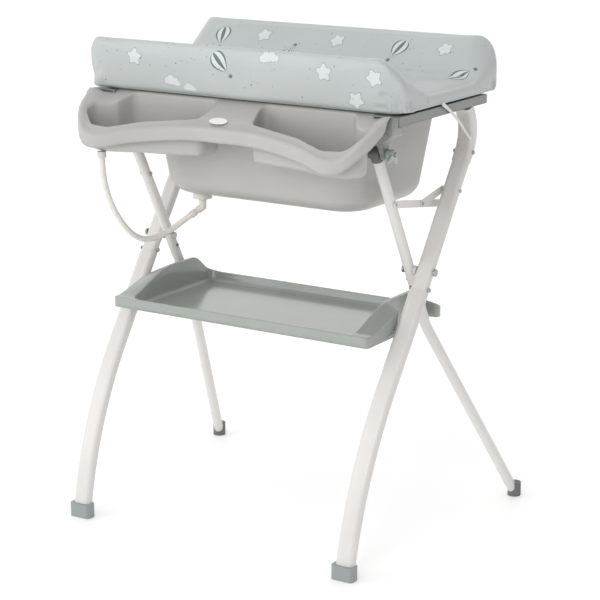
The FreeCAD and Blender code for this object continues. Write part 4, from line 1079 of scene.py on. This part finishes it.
def ribbon(name, path, wide, thick, across):
    """A flat band along a path, with a slightly rounded face."""
    skin = Skin()
    skin.stack([[place + across * (wide * (k / 6 - 0.5)) for k in range(7)] for place in path], closed=False)
    band = skin.made(name)
    thicken(band, thick, 0.0)
    bake_modifiers(band)
    soft = band.modifiers.new("soft", "BEVEL")
    soft.width, soft.segments = thick * 0.3, 2
    bake_modifiers(band)
    band.data.shade_smooth()
    return band


def add_straps():
    across = Vector((0, 0.483, 0.876))
    for side, sign in SIDES:
        run = [spot(sign * x, y, z) for x, y, z in STRAP_RUN]
        strap = ribbon("strap_" + side, curve_through(run, 0.004), STRAP_WIDE, STRAP_THICK, across)
        dress(strap, MATERIALS["strap_elastic"], "mat")
        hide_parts("mat_strap_" + side)
        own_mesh(strap)
        proud = Vector((sign * 0.0004, 0, 0))
        tab = [run[0] + (run[1] - run[0]) * share + proud for share in (-0.25, 0.1, 0.45, 0.75)]
        sewn = ribbon("strap_tab_" + side, tab, STRAP_WIDE * 1.12, STRAP_THICK * 2.4, across)
        dress(sewn, MATERIALS["strap_elastic"], "mat")


add_straps()


# Floor and light

def area_light(name, place, aim, size, power):
    """A rectangular lamp at place that faces aim."""
    data = bpy.data.lights.new(name, "AREA")
    data.shape, data.size, data.size_y, data.energy = "RECTANGLE", size[0], size[1], power
    light = bpy.data.objects.new(name, data)
    light.location = place
    light.rotation_euler = (Vector(aim) - Vector(place)).to_track_quat("-Z", "Y").to_euler()
    scene.collection.objects.link(light)


def add_world():
    """A white room that is dimmer on the table's right."""
    world = bpy.data.worlds.new("studio")
    world.use_nodes = True
    tree = world.node_tree
    place = tree.nodes.new("ShaderNodeTexCoord")
    parts = tree.nodes.new("ShaderNodeSeparateXYZ")
    dim = tree.nodes.new("ShaderNodeMapRange")
    dim.interpolation_type = "SMOOTHSTEP"
    dim.inputs["From Min"].default_value, dim.inputs["From Max"].default_value = -0.1, 0.8
    dim.inputs["To Min"].default_value, dim.inputs["To Max"].default_value = 1.0, 0.55
    tree.links.new(place.outputs["Generated"], parts.inputs["Vector"])
    tree.links.new(parts.outputs["X"], dim.inputs["Value"])
    tree.nodes["Background"].inputs["Color"].default_value = (1, 1, 1, 1)
    tree.links.new(dim.outputs["Result"], tree.nodes["Background"].inputs["Strength"])
    scene.world = world


def add_stage():
    """A wide white floor, the room and two lamps."""
    skin = Skin()
    reach = 14.0
    near = skin.ring([(-reach, -reach, 0), (reach, -reach, 0)])
    far = skin.ring([(-reach, reach, 0), (reach, reach, 0)])
    skin.bridge(near, far, closed=False)
    floor = skin.made("floor")
    made, tree, surface = shader("floor_paper")
    surface.inputs["Base Color"].default_value = (0.93, 0.93, 0.93, 1)
    surface.inputs["Roughness"].default_value = 0.45
    surface.inputs["Specular IOR Level"].default_value = 0.3
    surface.inputs["Emission Color"].default_value = (1, 1, 1, 1)
    surface.inputs["Emission Strength"].default_value = 0.2
    dress(floor, made)
    add_world()
    area_light("key", (-2.6, -3.2, 1.8), (0, 0, 0.6), (2.4, 2.2), 22)
    area_light("front", (0.9, -3.6, 2.4), (0, 0, 0.6), (1.6, 1.4), 24)
    scene.view_settings.view_transform = "Standard"


add_stage()
